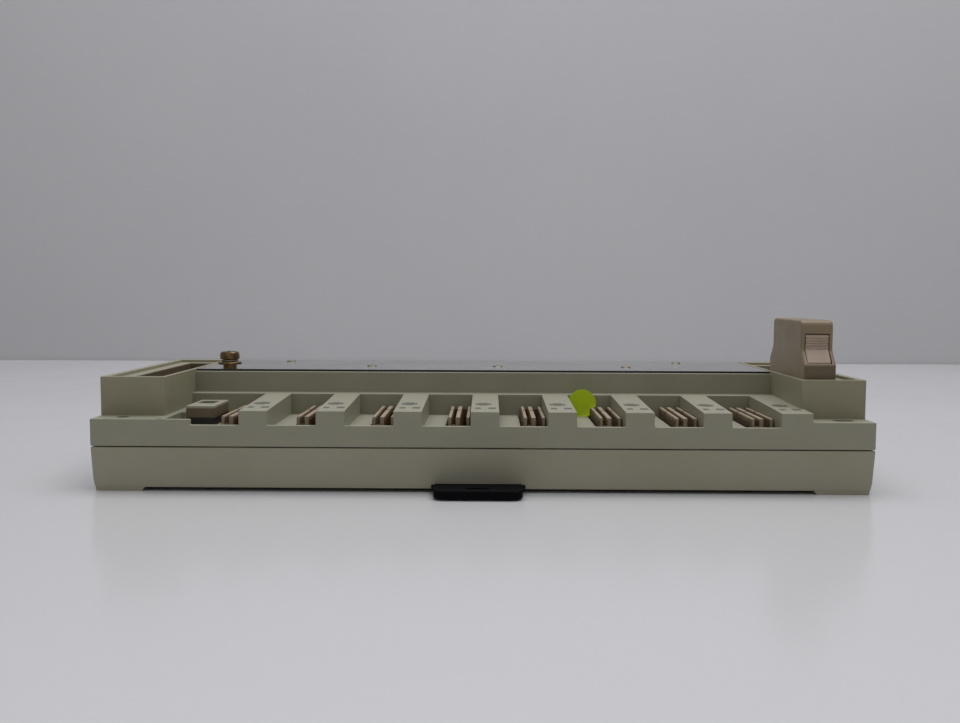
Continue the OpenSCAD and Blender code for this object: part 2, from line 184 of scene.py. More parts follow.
@dataclass(frozen=True)
class Finish:
    """A surface: one colour with soft stains, a grain in relief, and roughness that varies a little.

    Attributes:
        name: real material and how it was made.
        color: sRGB hex of the clean surface.
        stain: sRGB hex that the surface goes towards in patches.
        stain_mm: size of the patches.
        stain_amount: 0 for none, 1 for full patches.
        rough: roughness of the surface.
        rough_swing: how much the roughness varies from patch to patch.
        grain_mm: size of the grain in relief.
        grain_depth_mm: height of the grain.
        metallic: 1 for metal.
        coat: weight of a clear skin.
        dust: how much pale dust lies on faces that look up.
        brushed: stretch of the grain along X, 1 for none.
        specular: strength of the mirror reflection, 0.5 for plastics.
    """

    name: str
    color: str
    stain: str
    stain_mm: float = 30.0
    stain_amount: float = 0.25
    rough: float = 0.5
    rough_swing: float = 0.08
    grain_mm: float = 0.35
    grain_depth_mm: float = 0.02
    metallic: float = 0.0
    coat: float = 0.0
    dust: float = 0.0
    brushed: float = 1.0
    specular: float = 0.5

    def build(self) -> bpy.types.Material:
        """Makes the node tree.

        Returns:
            The material, made once and shared by the pieces that use it.
        """
        found = bpy.data.materials.get(self.name)
        if found is not None:
            return found
        mat = bpy.data.materials.new(self.name)
        mat.use_nodes = True
        tree = mat.node_tree
        tree.nodes.clear()
        out = add_node(mat, "ShaderNodeOutputMaterial")
        shader = add_node(
            mat,
            "ShaderNodeBsdfPrincipled",
            {
                "Metallic": self.metallic,
                "Coat Weight": self.coat,
                "Coat Roughness": 0.12,
                "Specular IOR Level": self.specular,
            },
        )
        tree.links.new(shader.outputs[0], out.inputs[0])
        where = add_node(mat, "ShaderNodeTexCoord").outputs["Object"]
        # patches: large soft noise broken up by a finer one, both in real size
        broad = add_node(
            mat,
            "ShaderNodeTexNoise",
            {"Vector": where, "Scale": 1000.0 / self.stain_mm, "Detail": 5.0, "Roughness": 0.6},
        )
        patch = add_node(
            mat,
            "ShaderNodeMapRange",
            {
                "Value": broad.outputs[0],
                "From Min": 0.42,
                "From Max": 0.68,
                "To Min": 0.0,
                "To Max": self.stain_amount,
            },
        )
        mix = add_node(
            mat,
            "ShaderNodeMix",
            {0: patch.outputs[0], 6: linear(self.color), 7: linear(self.stain)},
            data_type="RGBA",
        )
        color = mix.outputs[2]
        if self.dust > 0:
            # dust settles on faces that look up, thicker in some patches
            normal = add_node(mat, "ShaderNodeNewGeometry").outputs["Normal"]
            up = add_node(mat, "ShaderNodeSeparateXYZ", {0: normal}).outputs[2]
            fine = add_node(mat, "ShaderNodeTexNoise", {"Vector": where, "Scale": 240.0, "Detail": 6.0})
            lies = add_node(mat, "ShaderNodeMapRange", {"Value": up, "From Min": 0.5, "From Max": 1.0})
            thick = add_node(
                mat, "ShaderNodeMath", {0: lies.outputs[0], 1: fine.outputs[0]}, operation="MULTIPLY"
            )
            share = add_node(mat, "ShaderNodeMath", {0: thick.outputs[0], 1: self.dust}, operation="MULTIPLY")
            dusty = add_node(
                mat, "ShaderNodeMix", {0: share.outputs[0], 6: color, 7: linear("#b9b6ab")}, data_type="RGBA"
            )
            color = dusty.outputs[2]
        tree.links.new(color, shader.inputs["Base Color"])
        swing = add_node(
            mat,
            "ShaderNodeMapRange",
            {
                "Value": broad.outputs[0],
                "From Min": 0.3,
                "From Max": 0.7,
                "To Min": self.rough - self.rough_swing,
                "To Max": self.rough + self.rough_swing,
            },
        )
        tree.links.new(swing.outputs[0], shader.inputs["Roughness"])
        spot = where
        if self.brushed != 1.0:
            spot = add_node(
                mat, "ShaderNodeMapping", {"Vector": where, "Scale": (1.0 / self.brushed, 1.0, 1.0)}
            ).outputs[0]
        grain = add_node(
            mat, "ShaderNodeTexNoise", {"Vector": spot, "Scale": 1000.0 / self.grain_mm, "Detail": 2.0}
        )
        bump = add_node(
            mat,
            "ShaderNodeBump",
            {"Height": grain.outputs[0], "Strength": 0.6, "Distance": self.grain_depth_mm / 1000.0},
        )
        tree.links.new(bump.outputs[0], shader.inputs["Normal"])
        return mat


# Moulded ABS with a spark-eroded texture: flat grey-beige with a soft sheen, a little yellowed in patches
ABS_TOP = Finish(
    "abs_moulded_spark_texture", "#989682", "#8d8971", 55.0, 0.35, 0.46, 0.07, 0.4, 0.018, dust=0.22
)
ABS_LOW = Finish("abs_moulded_lower_shell", "#a09d88", "#938e76", 60.0, 0.4, 0.44, 0.07, 0.4, 0.018, dust=0.1)
# The wells have yellowed more, so they read a shade more olive than the rest
ABS_WELL = Finish(
    "abs_moulded_yellowed_well", "#959179", "#868066", 40.0, 0.45, 0.44, 0.06, 0.4, 0.018, dust=0.12
)
# Aged hood: browner, with the smooth glow of a part that is handled
ABS_HOOD = Finish("abs_moulded_aged_hood", "#89795e", "#79674c", 14.0, 0.35, 0.42, 0.06, 0.3, 0.01)
# Darker brown ABS used as painted shade: thin plates on the hood's two end faces, the frame under the switch's lid
# and the liner in the empty left well, each standing where the real part lies in shade
ABS_PAINTED_SHADE = Finish("abs_brown_painted_shade", "#695b44", "#5b4d39", 14.0, 0.35, 0.46, 0.06, 0.3, 0.01)
# Acetal lever: waxy and a little pink beside the hood
POM_LEVER = Finish("acetal_moulded_lever", "#b5a08f", "#a48e7c", 9.0, 0.3, 0.36, 0.05, 0.2, 0.004, coat=0.1)
# Bright nickel sheet: mirrors the wall behind it, with very faint rolling lines
NICKEL = Finish(
    "steel_sheet_bright_nickel", "#c0bfbc", "#aaa9a6", 45.0, 0.4, 0.16, 0.04, 0.6, 0.0016, metallic=1.0, brushed=30.0
)
# Dark strip at the plate's front edge, in a dull steel look: painted shadow line under the bright sheet
PLATE_EDGE_SHADE = Finish("steel_painted_shadow_line", "#34332f", "#24231f", 2.0, 0.5, 0.55, 0.08, 0.2, 0.004, metallic=0.5)
# Yellow-passivated screw: warm brass look, dulled where it was handled
BRASS = Finish(
    "steel_screw_yellow_passivate", "#7d6648", "#4c3c2a", 3.0, 0.6, 0.3, 0.1, 0.15, 0.004, metallic=1.0
)
SPRING_STEEL = Finish("spring_steel_oiled", "#8d8578", "#665c4c", 2.5, 0.5, 0.4, 0.1, 0.15, 0.004, metallic=1.0)
ZINC = Finish("steel_zinc_plated", "#a6a8a8", "#8b8c8a", 3.0, 0.5, 0.36, 0.08, 0.2, 0.004, metallic=1.0)
# Glass-filled polyester: dark brown body with a dull gloss
PBT_BROWN = Finish("polyester_glass_filled_brown", "#6b5947", "#524233", 6.0, 0.5, 0.48, 0.08, 0.15, 0.01)
PBT_TAN = Finish("polyester_moulded_tan_strip", "#ab9b84", "#8f7e68", 4.0, 0.4, 0.45, 0.06, 0.15, 0.006)
GOLD = Finish(
    "bronze_contact_gold_plated", "#d0ab62", "#a98548", 1.5, 0.4, 0.28, 0.06, 0.1, 0.001, metallic=1.0
)
FR4 = Finish("glass_epoxy_board_green", "#234a2e", "#1b3a25", 12.0, 0.4, 0.38, 0.08, 0.5, 0.01, coat=0.3)
EPOXY = Finish("epoxy_moulded_black", "#1b1b1d", "#242425", 5.0, 0.3, 0.5, 0.06, 0.2, 0.006)
# Acetal latch: deep black with a satin face and pale scuffs
POM_BLACK = Finish(
    "acetal_moulded_black_latch", "#0b0b0e", "#111115", 12.0, 0.45, 0.75, 0.1, 0.3, 0.012, specular=0.06
)
NYLON = Finish("nylon_glass_filled_black", "#111113", "#1c1c1f", 6.0, 0.4, 0.46, 0.08, 0.2, 0.01)
PAPER = Finish("paper_sticker_fluorescent", "#c6e400", "#b4cf00", 6.0, 0.35, 0.55, 0.05, 0.25, 0.006)
INK = Finish("pad_printed_grey_ink", "#5a594f", "#68675c", 1.5, 0.5, 0.6, 0.05, 0.2, 0.001)
TABLE = Finish("laminate_white_gloss_table", "#dcdcde", "#d6d6d9", 300.0, 0.3, 0.2, 0.03, 1.5, 0.002, coat=0.2)
WALL = Finish("painted_wall_pale_grey", "#c2c2c4", "#bbbbbe", 400.0, 0.4, 0.8, 0.05, 3.0, 0.1)


# ---------------------------------------------------------------- geometry


@dataclass
class Shape:
    """Points and faces gathered from several closed solids.

    Attributes:
        points: arrays of points in the CAD's own mm (y from the front face).
        faces: faces as tuples of indices into all the points.
    """

    points: list[np.ndarray] = field(default_factory=list)
    faces: list[tuple[int, ...]] = field(default_factory=list)
    count: int = 0

    def add(self, pts: np.ndarray, faces: Iterable[Sequence[int]]) -> "Shape":
        """Adds one solid.

        Args:
            pts: its points, one row each.
            faces: its faces, counted from its own first point.

        Returns:
            This shape, so that calls can be chained.
        """
        base = self.count
        self.points.append(np.asarray(pts, float))
        self.faces.extend(tuple(int(k) + base for k in f) for f in faces)
        self.count += len(pts)
        return self

    def merge(self, other: "Shape") -> "Shape":
        """Adds another shape's solids.

        Args:
            other: shape to copy from.

        Returns:
            This shape.
        """
        return self.add(np.vstack(other.points), other.faces)


def bands(rows: int, cols: int, wrap: bool = True, close: bool = False, flip: bool = False) -> np.ndarray:
    """Quads between the rows of a grid of points that are numbered row by row.

    Args:
        rows: number of rows.
        cols: points in each row.
        wrap: joins the last point of each row to its first.
        close: joins the last row to the first.
        flip: turns the faces over.

    Returns:
        Four indices for each quad.
    """
    down, along = np.arange(rows if close else rows - 1), np.arange(cols if wrap else cols - 1)
    r, k = np.meshgrid(down, along, indexing="ij")
    r1, k1 = (r + 1) % rows, (k + 1) % cols
    quads = np.stack([r * cols + k, r * cols + k1, r1 * cols + k1, r1 * cols + k], -1).reshape(-1, 4)
    return quads[:, [0, 3, 2, 1]] if flip else quads


def capped(rows: int, cols: int, flip: bool = False) -> list[tuple[int, ...]]:
    """Faces of a tube of rings that is closed by a flat face at each end.

    Args:
        rows: number of rings.
        cols: points in each ring.
        flip: turns the tube's sides over.

    Returns:
        The faces.
    """
    k = np.arange(cols)
    ends = [k[::-1], k + (rows - 1) * cols]
    if flip:
        ends = [e[::-1] for e in ends]
    return [tuple(f) for f in bands(rows, cols, flip=flip)] + [tuple(e) for e in ends]


def round_box(lo: Sequence[float], hi: Sequence[float], r: float = 0.4, seg: int = 2) -> Shape:
    """A box whose edges and corners are rounded.

    Each face is a grid with its lines gathered at the edges. A point p of the plain box becomes c + r * (p - c) /
    |p - c|, where c is the nearest point of the box shrunk by r, so flat parts stay flat and edges become arcs.

    Args:
        lo: lowest corner.
        hi: highest corner.
        r: radius of the edges.
        seg: steps in each quarter arc.

    Returns:
        The closed shape.
    """
    lo, hi = np.asarray(lo, float), np.asarray(hi, float)
    r = min(r, 0.49 * float((hi - lo).min()))
    # tangent spacing gives equal angles once the grid is pushed onto the arc
    step = r * (1 - np.tan(np.linspace(math.pi / 4, 0, seg + 1)))
    lines = [np.concatenate([lo[k] + step, (hi[k] - step)[::-1]]) for k in range(3)]
    pts, faces, n = [], [], 0
    m = 2 * seg + 2
    for axis in range(3):
        a, b = [k for k in range(3) if k != axis]
        for side, value in ((0, lo[axis]), (1, hi[axis])):
            u, v = np.meshgrid(lines[a], lines[b], indexing="ij")
            p = np.empty((m * m, 3))
            p[:, a], p[:, b], p[:, axis] = u.ravel(), v.ravel(), value
            pts.append(p)
            q = bands(m, m, wrap=False, flip=True) + n
            if (side == 0) != (axis == 1):
                q = q[:, ::-1]
            faces.append(q)
            n += m * m
    p = np.vstack(pts)
    core = np.clip(p, lo + r, hi - r)
    d = p - core
    p = core + r * d / np.maximum(np.linalg.norm(d, axis=1, keepdims=True), 1e-9)
    _, first, same = np.unique(np.round(p, 5), axis=0, return_index=True, return_inverse=True)
    return Shape().add(p[first], same.ravel()[np.vstack(faces)])


def inset(loop: np.ndarray, d: float) -> np.ndarray:
    """Moves a counter-clockwise loop inwards by d, along the mitre of each corner.

    Args:
        loop: points of the outline.
        d: distance; negative moves it outwards.

    Returns:
        The moved points, as many as before.
    """
    e = np.roll(loop, -1, 0) - loop
    e = e / np.maximum(np.linalg.norm(e, axis=1, keepdims=True), 1e-9)
    nrm = np.stack([-e[:, 1], e[:, 0]], 1)
    m = nrm + np.roll(nrm, 1, 0)
    return loop + d * m / np.maximum((m * nrm).sum(1, keepdims=True), 0.3)


class Outline:
    """A closed outline with rounded corners, kept as corners and radii so that it can be moved inwards."""

    def __init__(
        self, corners: Sequence[Sequence[float]], radii: float | Sequence[float] = 0.0, seg: int = 4
    ) -> None:
        """Stores the corners counter-clockwise.

        Args:
            corners: corners in order.
            radii: radius for all corners, or one for each; 0 keeps a corner.
            seg: steps in each arc.
        """
        pts = np.asarray(corners, float)
        rad = np.full(len(pts), float(radii)) if np.isscalar(radii) else np.asarray(radii, float)
        x, y = pts[:, 0], pts[:, 1]
        if (x * np.roll(y, -1) - np.roll(x, -1) * y).sum() < 0:
            pts, rad = pts[::-1], rad[::-1]
        self.corners, self.radii, self.seg = pts, rad, seg

    def mirrored(self, about: float) -> "Outline":
        """The outline turned over about a line of its first axis.

        Args:
            about: where the line stands.

        Returns:
            The mirrored outline.
        """
        return Outline(self.corners * [-1, 1] + [2 * about, 0], self.radii, self.seg)

    def ring(self, d: float = 0.0) -> np.ndarray:
        """The outline moved inwards: outer corners lose d of their radius and inner corners gain it.

        Args:
            d: distance inwards.

        Returns:
            The points, the same number for every d.
        """
        base, pts = self.corners, inset(self.corners, d)
        out: list[np.ndarray] = []
        for k, p in enumerate(pts):
            e0, e1 = base[k] - base[k - 1], base[(k + 1) % len(base)] - base[k]
            cross = e0[0] * e1[1] - e0[1] * e1[0]
            if self.radii[k] <= 0 or abs(cross) < 1e-3 * np.linalg.norm(e0) * np.linalg.norm(e1):
                out.append(p[None])
                continue
            r = max(self.radii[k] + (-d if cross > 0 else d), 0.03)
            a, b = pts[k - 1] - p, pts[(k + 1) % len(pts)] - p
            la, lb = np.linalg.norm(a), np.linalg.norm(b)
            a, b = a / la, b / lb
            half = math.acos(float(np.clip(a @ b, -1, 1))) / 2
            cut = min(r / math.tan(half), 0.47 * la, 0.47 * lb)
            c = p + (a + b) / np.linalg.norm(a + b) * cut / math.cos(half)
            s, e = p + a * cut - c, p + b * cut - c
            t = np.linspace(0, 1, self.seg + 1)[:, None]
            w = math.pi - 2 * half
            out.append(c + (np.sin((1 - t) * w) * s + np.sin(t * w) * e) / math.sin(w))
        return np.vstack(out)


def prism(outline: Outline, axis: Axis, a0: float, a1: float, bevel: float = 0.3, seg: int = 2) -> Shape:
    """An outline run along an axis, with rounded edges at both ends.

    The rings near an end are the outline moved inwards by bevel * (1 - sin t) at a depth of bevel * (1 - cos t), a
    quarter circle of radius bevel.

    Args:
        outline: closed outline.
        axis: axis that it runs along.
        a0: start along the axis.
        a1: end along the axis.
        bevel: radius of the rounded edges.
        seg: steps in each quarter circle.

    Returns:
        The closed shape.
    """
    t = np.linspace(0, math.pi / 2, seg + 1)
    ins, dep = bevel * (1 - np.sin(t)), bevel * (1 - np.cos(t))
    rings = [(i, a0 + d) for i, d in zip(ins, dep)] + [(i, a1 - d) for i, d in zip(ins[::-1], dep[::-1])]
    pts = []
    for i, a in rings:
        q = outline.ring(float(i))
        w = np.full(len(q), a)
        cols = {Axis.X: (w, q[:, 0], q[:, 1]), Axis.Y: (q[:, 0], w, q[:, 1]), Axis.Z: (q[:, 0], q[:, 1], w)}[axis]
        pts.append(np.stack(cols, 1))
    faces = capped(len(rings), len(q))
    if axis is Axis.Y:
        faces = [f[::-1] for f in faces]
    return Shape().add(np.vstack(pts), faces)


def ring_prism(
    outer: Sequence[float], inner: Sequence[float], z0: float, z1: float, bevel: float = 0.4, r_out: float = 0.6
) -> Shape:
    """A rectangular frame of walls with a rounded rim.

    Args:
        outer: x0, x1, y0, y1 of the outside.
        inner: the same for the opening.
        z0: bottom of the walls.
        z1: top of the walls.
        bevel: radius of the rim's edges.
        r_out: radius of the upright outer corners.

    Returns:
        The closed shape.
    """

    def loop(box: Sequence[float], r: float) -> Outline:
        x0, x1, y0, y1 = box
        return Outline([(x0, y0), (x1, y0), (x1, y1), (x0, y1)], r, 3)

    big, small = loop(outer, r_out), loop(inner, 0.5)
    t = np.linspace(0, math.pi / 2, 3)
    rings = [(big.ring(), z0)]
    rings += [(big.ring(bevel * (1 - math.cos(a))), z1 - bevel * (1 - math.sin(a))) for a in t]
    rings += [(small.ring(-bevel * (1 - math.sin(a))), z1 - bevel * (1 - math.cos(a))) for a in t]
    rings += [(small.ring(), z0)]
    n = len(rings[0][0])
    pts = np.vstack([np.column_stack([q, np.full(n, z)]) for q, z in rings])
    return Shape().add(pts, bands(len(rings), n, close=True))


def lathe(
    profile: Sequence[Sequence[float]], center: Sequence[float], steps: int = 48, wave: Callable | None = None
) -> Shape:
    """A profile of (radius, z) turned about an upright axis, closed by a flat face at both ends.

    Args:
        profile: radius and height pairs from bottom to top.
        center: x and y of the axis.
        steps: points round the axis.
        wave: optional change of radius, from the angle, radius and height.

    Returns:
        The closed shape.
    """
    prof = np.asarray(profile, float)
    a = np.linspace(0, 2 * math.pi, steps, endpoint=False)
    rad = np.repeat(prof[:, :1], steps, 1)
    z = np.repeat(prof[:, 1:], steps, 1)
    if wave is not None:
        rad = rad + wave(a[None], rad, z)
    pts = np.stack([center[0] + rad * np.cos(a), center[1] + rad * np.sin(a), z], -1).reshape(-1, 3)
    return Shape().add(pts, capped(len(prof), steps))


def sweep(path: np.ndarray, section: np.ndarray, up: np.ndarray | None = None) -> Shape:
    """A flat section carried along a path, square to it.

    Args:
        path: points of the centre line.
        section: points of the section, as (side, up).
        up: direction that the section's second axis keeps to.

    Returns:
        The closed shape.
    """
    path = np.asarray(path, float)
    tan = np.gradient(path, axis=0)
    tan /= np.linalg.norm(tan, axis=1, keepdims=True)
    ref = np.tile(np.array([0.0, 0.0, 1.0]) if up is None else up, (len(path), 1))
    side = np.cross(tan, ref)
    side /= np.maximum(np.linalg.norm(side, axis=1, keepdims=True), 1e-9)
    top = np.cross(side, tan)
    pts = path[:, None] + section[None, :, :1] * side[:, None] + section[None, :, 1:] * top[:, None]
    return Shape().add(pts.reshape(-1, 3), capped(len(path), len(section), flip=True))


def circle(r: float, n: int = 10) -> np.ndarray:
    """Points of a circle.

    Args:
        r: radius.
        n: number of points.

    Returns:
        The points in order.
    """
    a = np.linspace(0, 2 * math.pi, n, endpoint=False)
    return np.stack([r * np.cos(a), r * np.sin(a)], 1)


@dataclass
class Piece:
    """One visible object of the model.

    Attributes:
        name: name of the object.
        shape: its solids.
        finish: its surface.
        slot: material slot of the record.
        replaces: CAD nodes that it stands for.
        sharp_deg: edges sharper than this stay sharp.
        cutters: shapes that are cut out of it.
        joins: solids that are fused to it before anything is cut.
        body: CAD body that it rides on.
        bend: for a spring, the body at its far end and two places in mm; when set, the piece is left off its body
            with its transform baked.
    """

    name: str
    shape: Shape
    finish: Finish
    slot: str
    replaces: tuple[str, ...] = ()
    sharp_deg: float = 40.0
    cutters: tuple[Shape, ...] = ()
    joins: tuple[Shape, ...] = ()
    body: Body = Body.BASE
    bend: tuple[Body, tuple[float, float, float], tuple[float, float, float]] | None = None

    def mesh(self, shape: Shape, name: str) -> bpy.types.Mesh:
        """Turns a shape into a mesh in the row frame.

        Args:
            shape: solids in the CAD's mm.
            name: name of the mesh.

        Returns:
            The mesh, in metres.
        """
        pts = np.vstack(shape.points) + np.array([0.0, FRONT_Y, 0.0])
        me = bpy.data.meshes.new(name)
        me.from_pydata((pts / 1000.0).tolist(), [], shape.faces)
        me.validate()
        me.update()
        return me

    def build(self) -> bpy.types.Object:
        """Makes the object, cuts it, smooths it and hangs it on its body; a piece with a bend is left loose with its
        transform baked.

        Returns:
            The finished object.
        """
        me = self.mesh(self.shape, self.name)
        obj = bpy.data.objects.new(self.name, me)
        bpy.context.scene.collection.objects.link(obj)
        if self.joins or self.cutters:
            tools = []
            steps = [("UNION", j) for j in self.joins] + [("DIFFERENCE", c) for c in self.cutters]
            for k, (way, s) in enumerate(steps):
                tool = bpy.data.objects.new(f"{self.name}_tool{k}", self.mesh(s, f"{self.name}_tool{k}"))
                bpy.context.scene.collection.objects.link(tool)
                mod = obj.modifiers.new(f"tool{k}", "BOOLEAN")
                mod.operation, mod.solver, mod.object = way, "MANIFOLD", tool
                tools.append(tool)
            bpy.context.view_layer.update()
            done = bpy.data.meshes.new_from_object(obj.evaluated_get(bpy.context.evaluated_depsgraph_get()))
            obj.modifiers.clear()
            obj.data = done
            done.name = self.name
            for tool in tools:
                bpy.data.objects.remove(tool)
            bpy.data.meshes.remove(me)
            me = done
        me.polygons.foreach_set("use_smooth", np.ones(len(me.polygons), bool))
        me.set_sharp_from_angle(angle=math.radians(self.sharp_deg))
        me.materials.clear()
        me.materials.append(self.finish.build())
        mod = obj.modifiers.new("weighted", "WEIGHTED_NORMAL")
        mod.keep_sharp = True
        if self.bend:
            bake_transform(obj)
        else:
            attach(obj, self.body.value)
        if self.replaces:
            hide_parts(*self.replaces)
        LOG.info("piece %s: %d faces on %s", self.name, len(me.polygons), self.body.value)
        return obj


# ---------------------------------------------------------------- sub-assemblies


@dataclass
class Assembly:
    """A group of pieces that belong together."""

    def pieces(self) -> list[Piece]:
        """Lists the pieces.

        Returns:
            The pieces, not yet built.
        """
        raise NotImplementedError

    def build(self) -> list[bpy.types.Object]:
        """Builds every piece.

        Returns:
            The objects.
        """
        made = [p.build() for p in self.pieces()]
        LOG.info("%s: %d pieces", type(self).__name__, len(made))
        return made


@dataclass
class LowerShell(Assembly):
    """The bottom shell with its feet, rail channel and latch bay.

    Attributes:
        seam: height of its upper edge.
        under: height of its underside, between the feet.
        wall: thickness of its end walls and its floor.
        latch_x: middle of the latch bay.
        rail_y: middle of the rail channel.
        rail_half: half the channel's width.
    """

    seam: float = 19.97
    under: float = 1.7
    wall: float = 4.2
    latch_x: float = -1.5
    rail_y: float = 65.0
    rail_half: float = 17.8

    def cuts(self) -> tuple[Shape, ...]:
        """The hollows, the rail channel, the latch bay and the screw holes.

        Returns:
            The shapes to cut out.
        """
        end, floor, lx, ry, rh = HALF - self.wall, self.wall, self.latch_x, self.rail_y, self.rail_half
        cut = [
            round_box((-end, 2.4, floor), (end, 44.8, 25), 0.3, 1),
            round_box((-end, 85.2, floor), (end, DEPTH - 2.4, 25), 0.3, 1),
            round_box((-end, 40, 10.4), (end, 90, 25), 0.3, 1),
            round_box((-HALF - 9, ry - rh, -9), (HALF + 9, ry + rh, 8), 0.3, 1),
            round_box((lx - 19.8, -9, -9), (lx + 19.8, 47.5, 3.65), 0.2, 1),
            round_box((lx - 21.35, -9, 2.55), (lx + 21.35, 47.4, 3.65), 0.1, 1),
        ]
        cut += [lathe([(2.75, -5), (2.75, 30)], (x, SHELF_HOLE_Y), 32) for x in (-SHELF_HOLE_X, SHELF_HOLE_X)]
        return tuple(cut + [lathe([(3, -5), (3, 4.4)], spot, 24) for spot in SHELL_SCREWS])

    def feet(self) -> Shape:
        """The two feet under each end, one before the rail channel and one behind it.

        Returns:
            All four feet.
        """
        feet, near, far = Shape(), self.rail_y - self.rail_half - 0.6, self.rail_y + self.rail_half + 0.6
        for side, length in ((-1, 24.8), (1, 27.8)):
            out, inner = side * HALF, side * (HALF - length)
            low = [(out - side * 2.2, 0.0), (inner + side * 1.8, 0.0)]
            foot = Outline(low + [(inner, 2.2), (out - side * 1.95, 2.2)], 0.5, 3)
            feet.merge(prism(foot, Axis.Y, 0.22, near, 0.2)).merge(prism(foot, Axis.Y, far, DEPTH - 0.22, 0.2))
        return feet

    def pieces(self) -> list[Piece]:
        """Lists the shell, the rail hooks and the feet.

        Returns:
            The pieces.
        """
        low, bend, s = HALF - 1.75, HALF - 1.05, self.seam
        ends = [(-low, self.under), (low, self.under), (bend, 5), (HALF, s), (-HALF, s), (-bend, 5)]
        shell = prism(Outline(ends, [0.9, 0.9, 6.0, 0.5, 0.5, 6.0], 5), Axis.Y, 0, DEPTH, 0.45)
        y0, y1 = self.rail_y + 15.8, self.rail_y + 17.9
        hook = Outline([(y0, 3.9), (y1, 3.2), (y1, 6.6), (y0, 6.6)])
        hooks = Shape()
        for x in (-120, 0, 120):
            hooks.merge(prism(hook, Axis.X, x - 15, x + 15, 0.2))
        spots = [(x, SHELF_HOLE_Y) for x in (-SHELF_HOLE_X, SHELF_HOLE_X)]
        sinks = tuple(lathe([(4.6, -5), (4.6, 8)], spot, 32) for spot in spots)
        return [
            Piece("lower_shell", shell, ABS_LOW, "shell_plastic", ("bottom_shell",), cutters=self.cuts()),
            Piece("rail_hooks", hooks, ABS_LOW, "shell_plastic"),
            Piece("feet_pads", self.feet(), ABS_LOW, "foot_plastic", ("end_feet",), cutters=sinks),
        ]


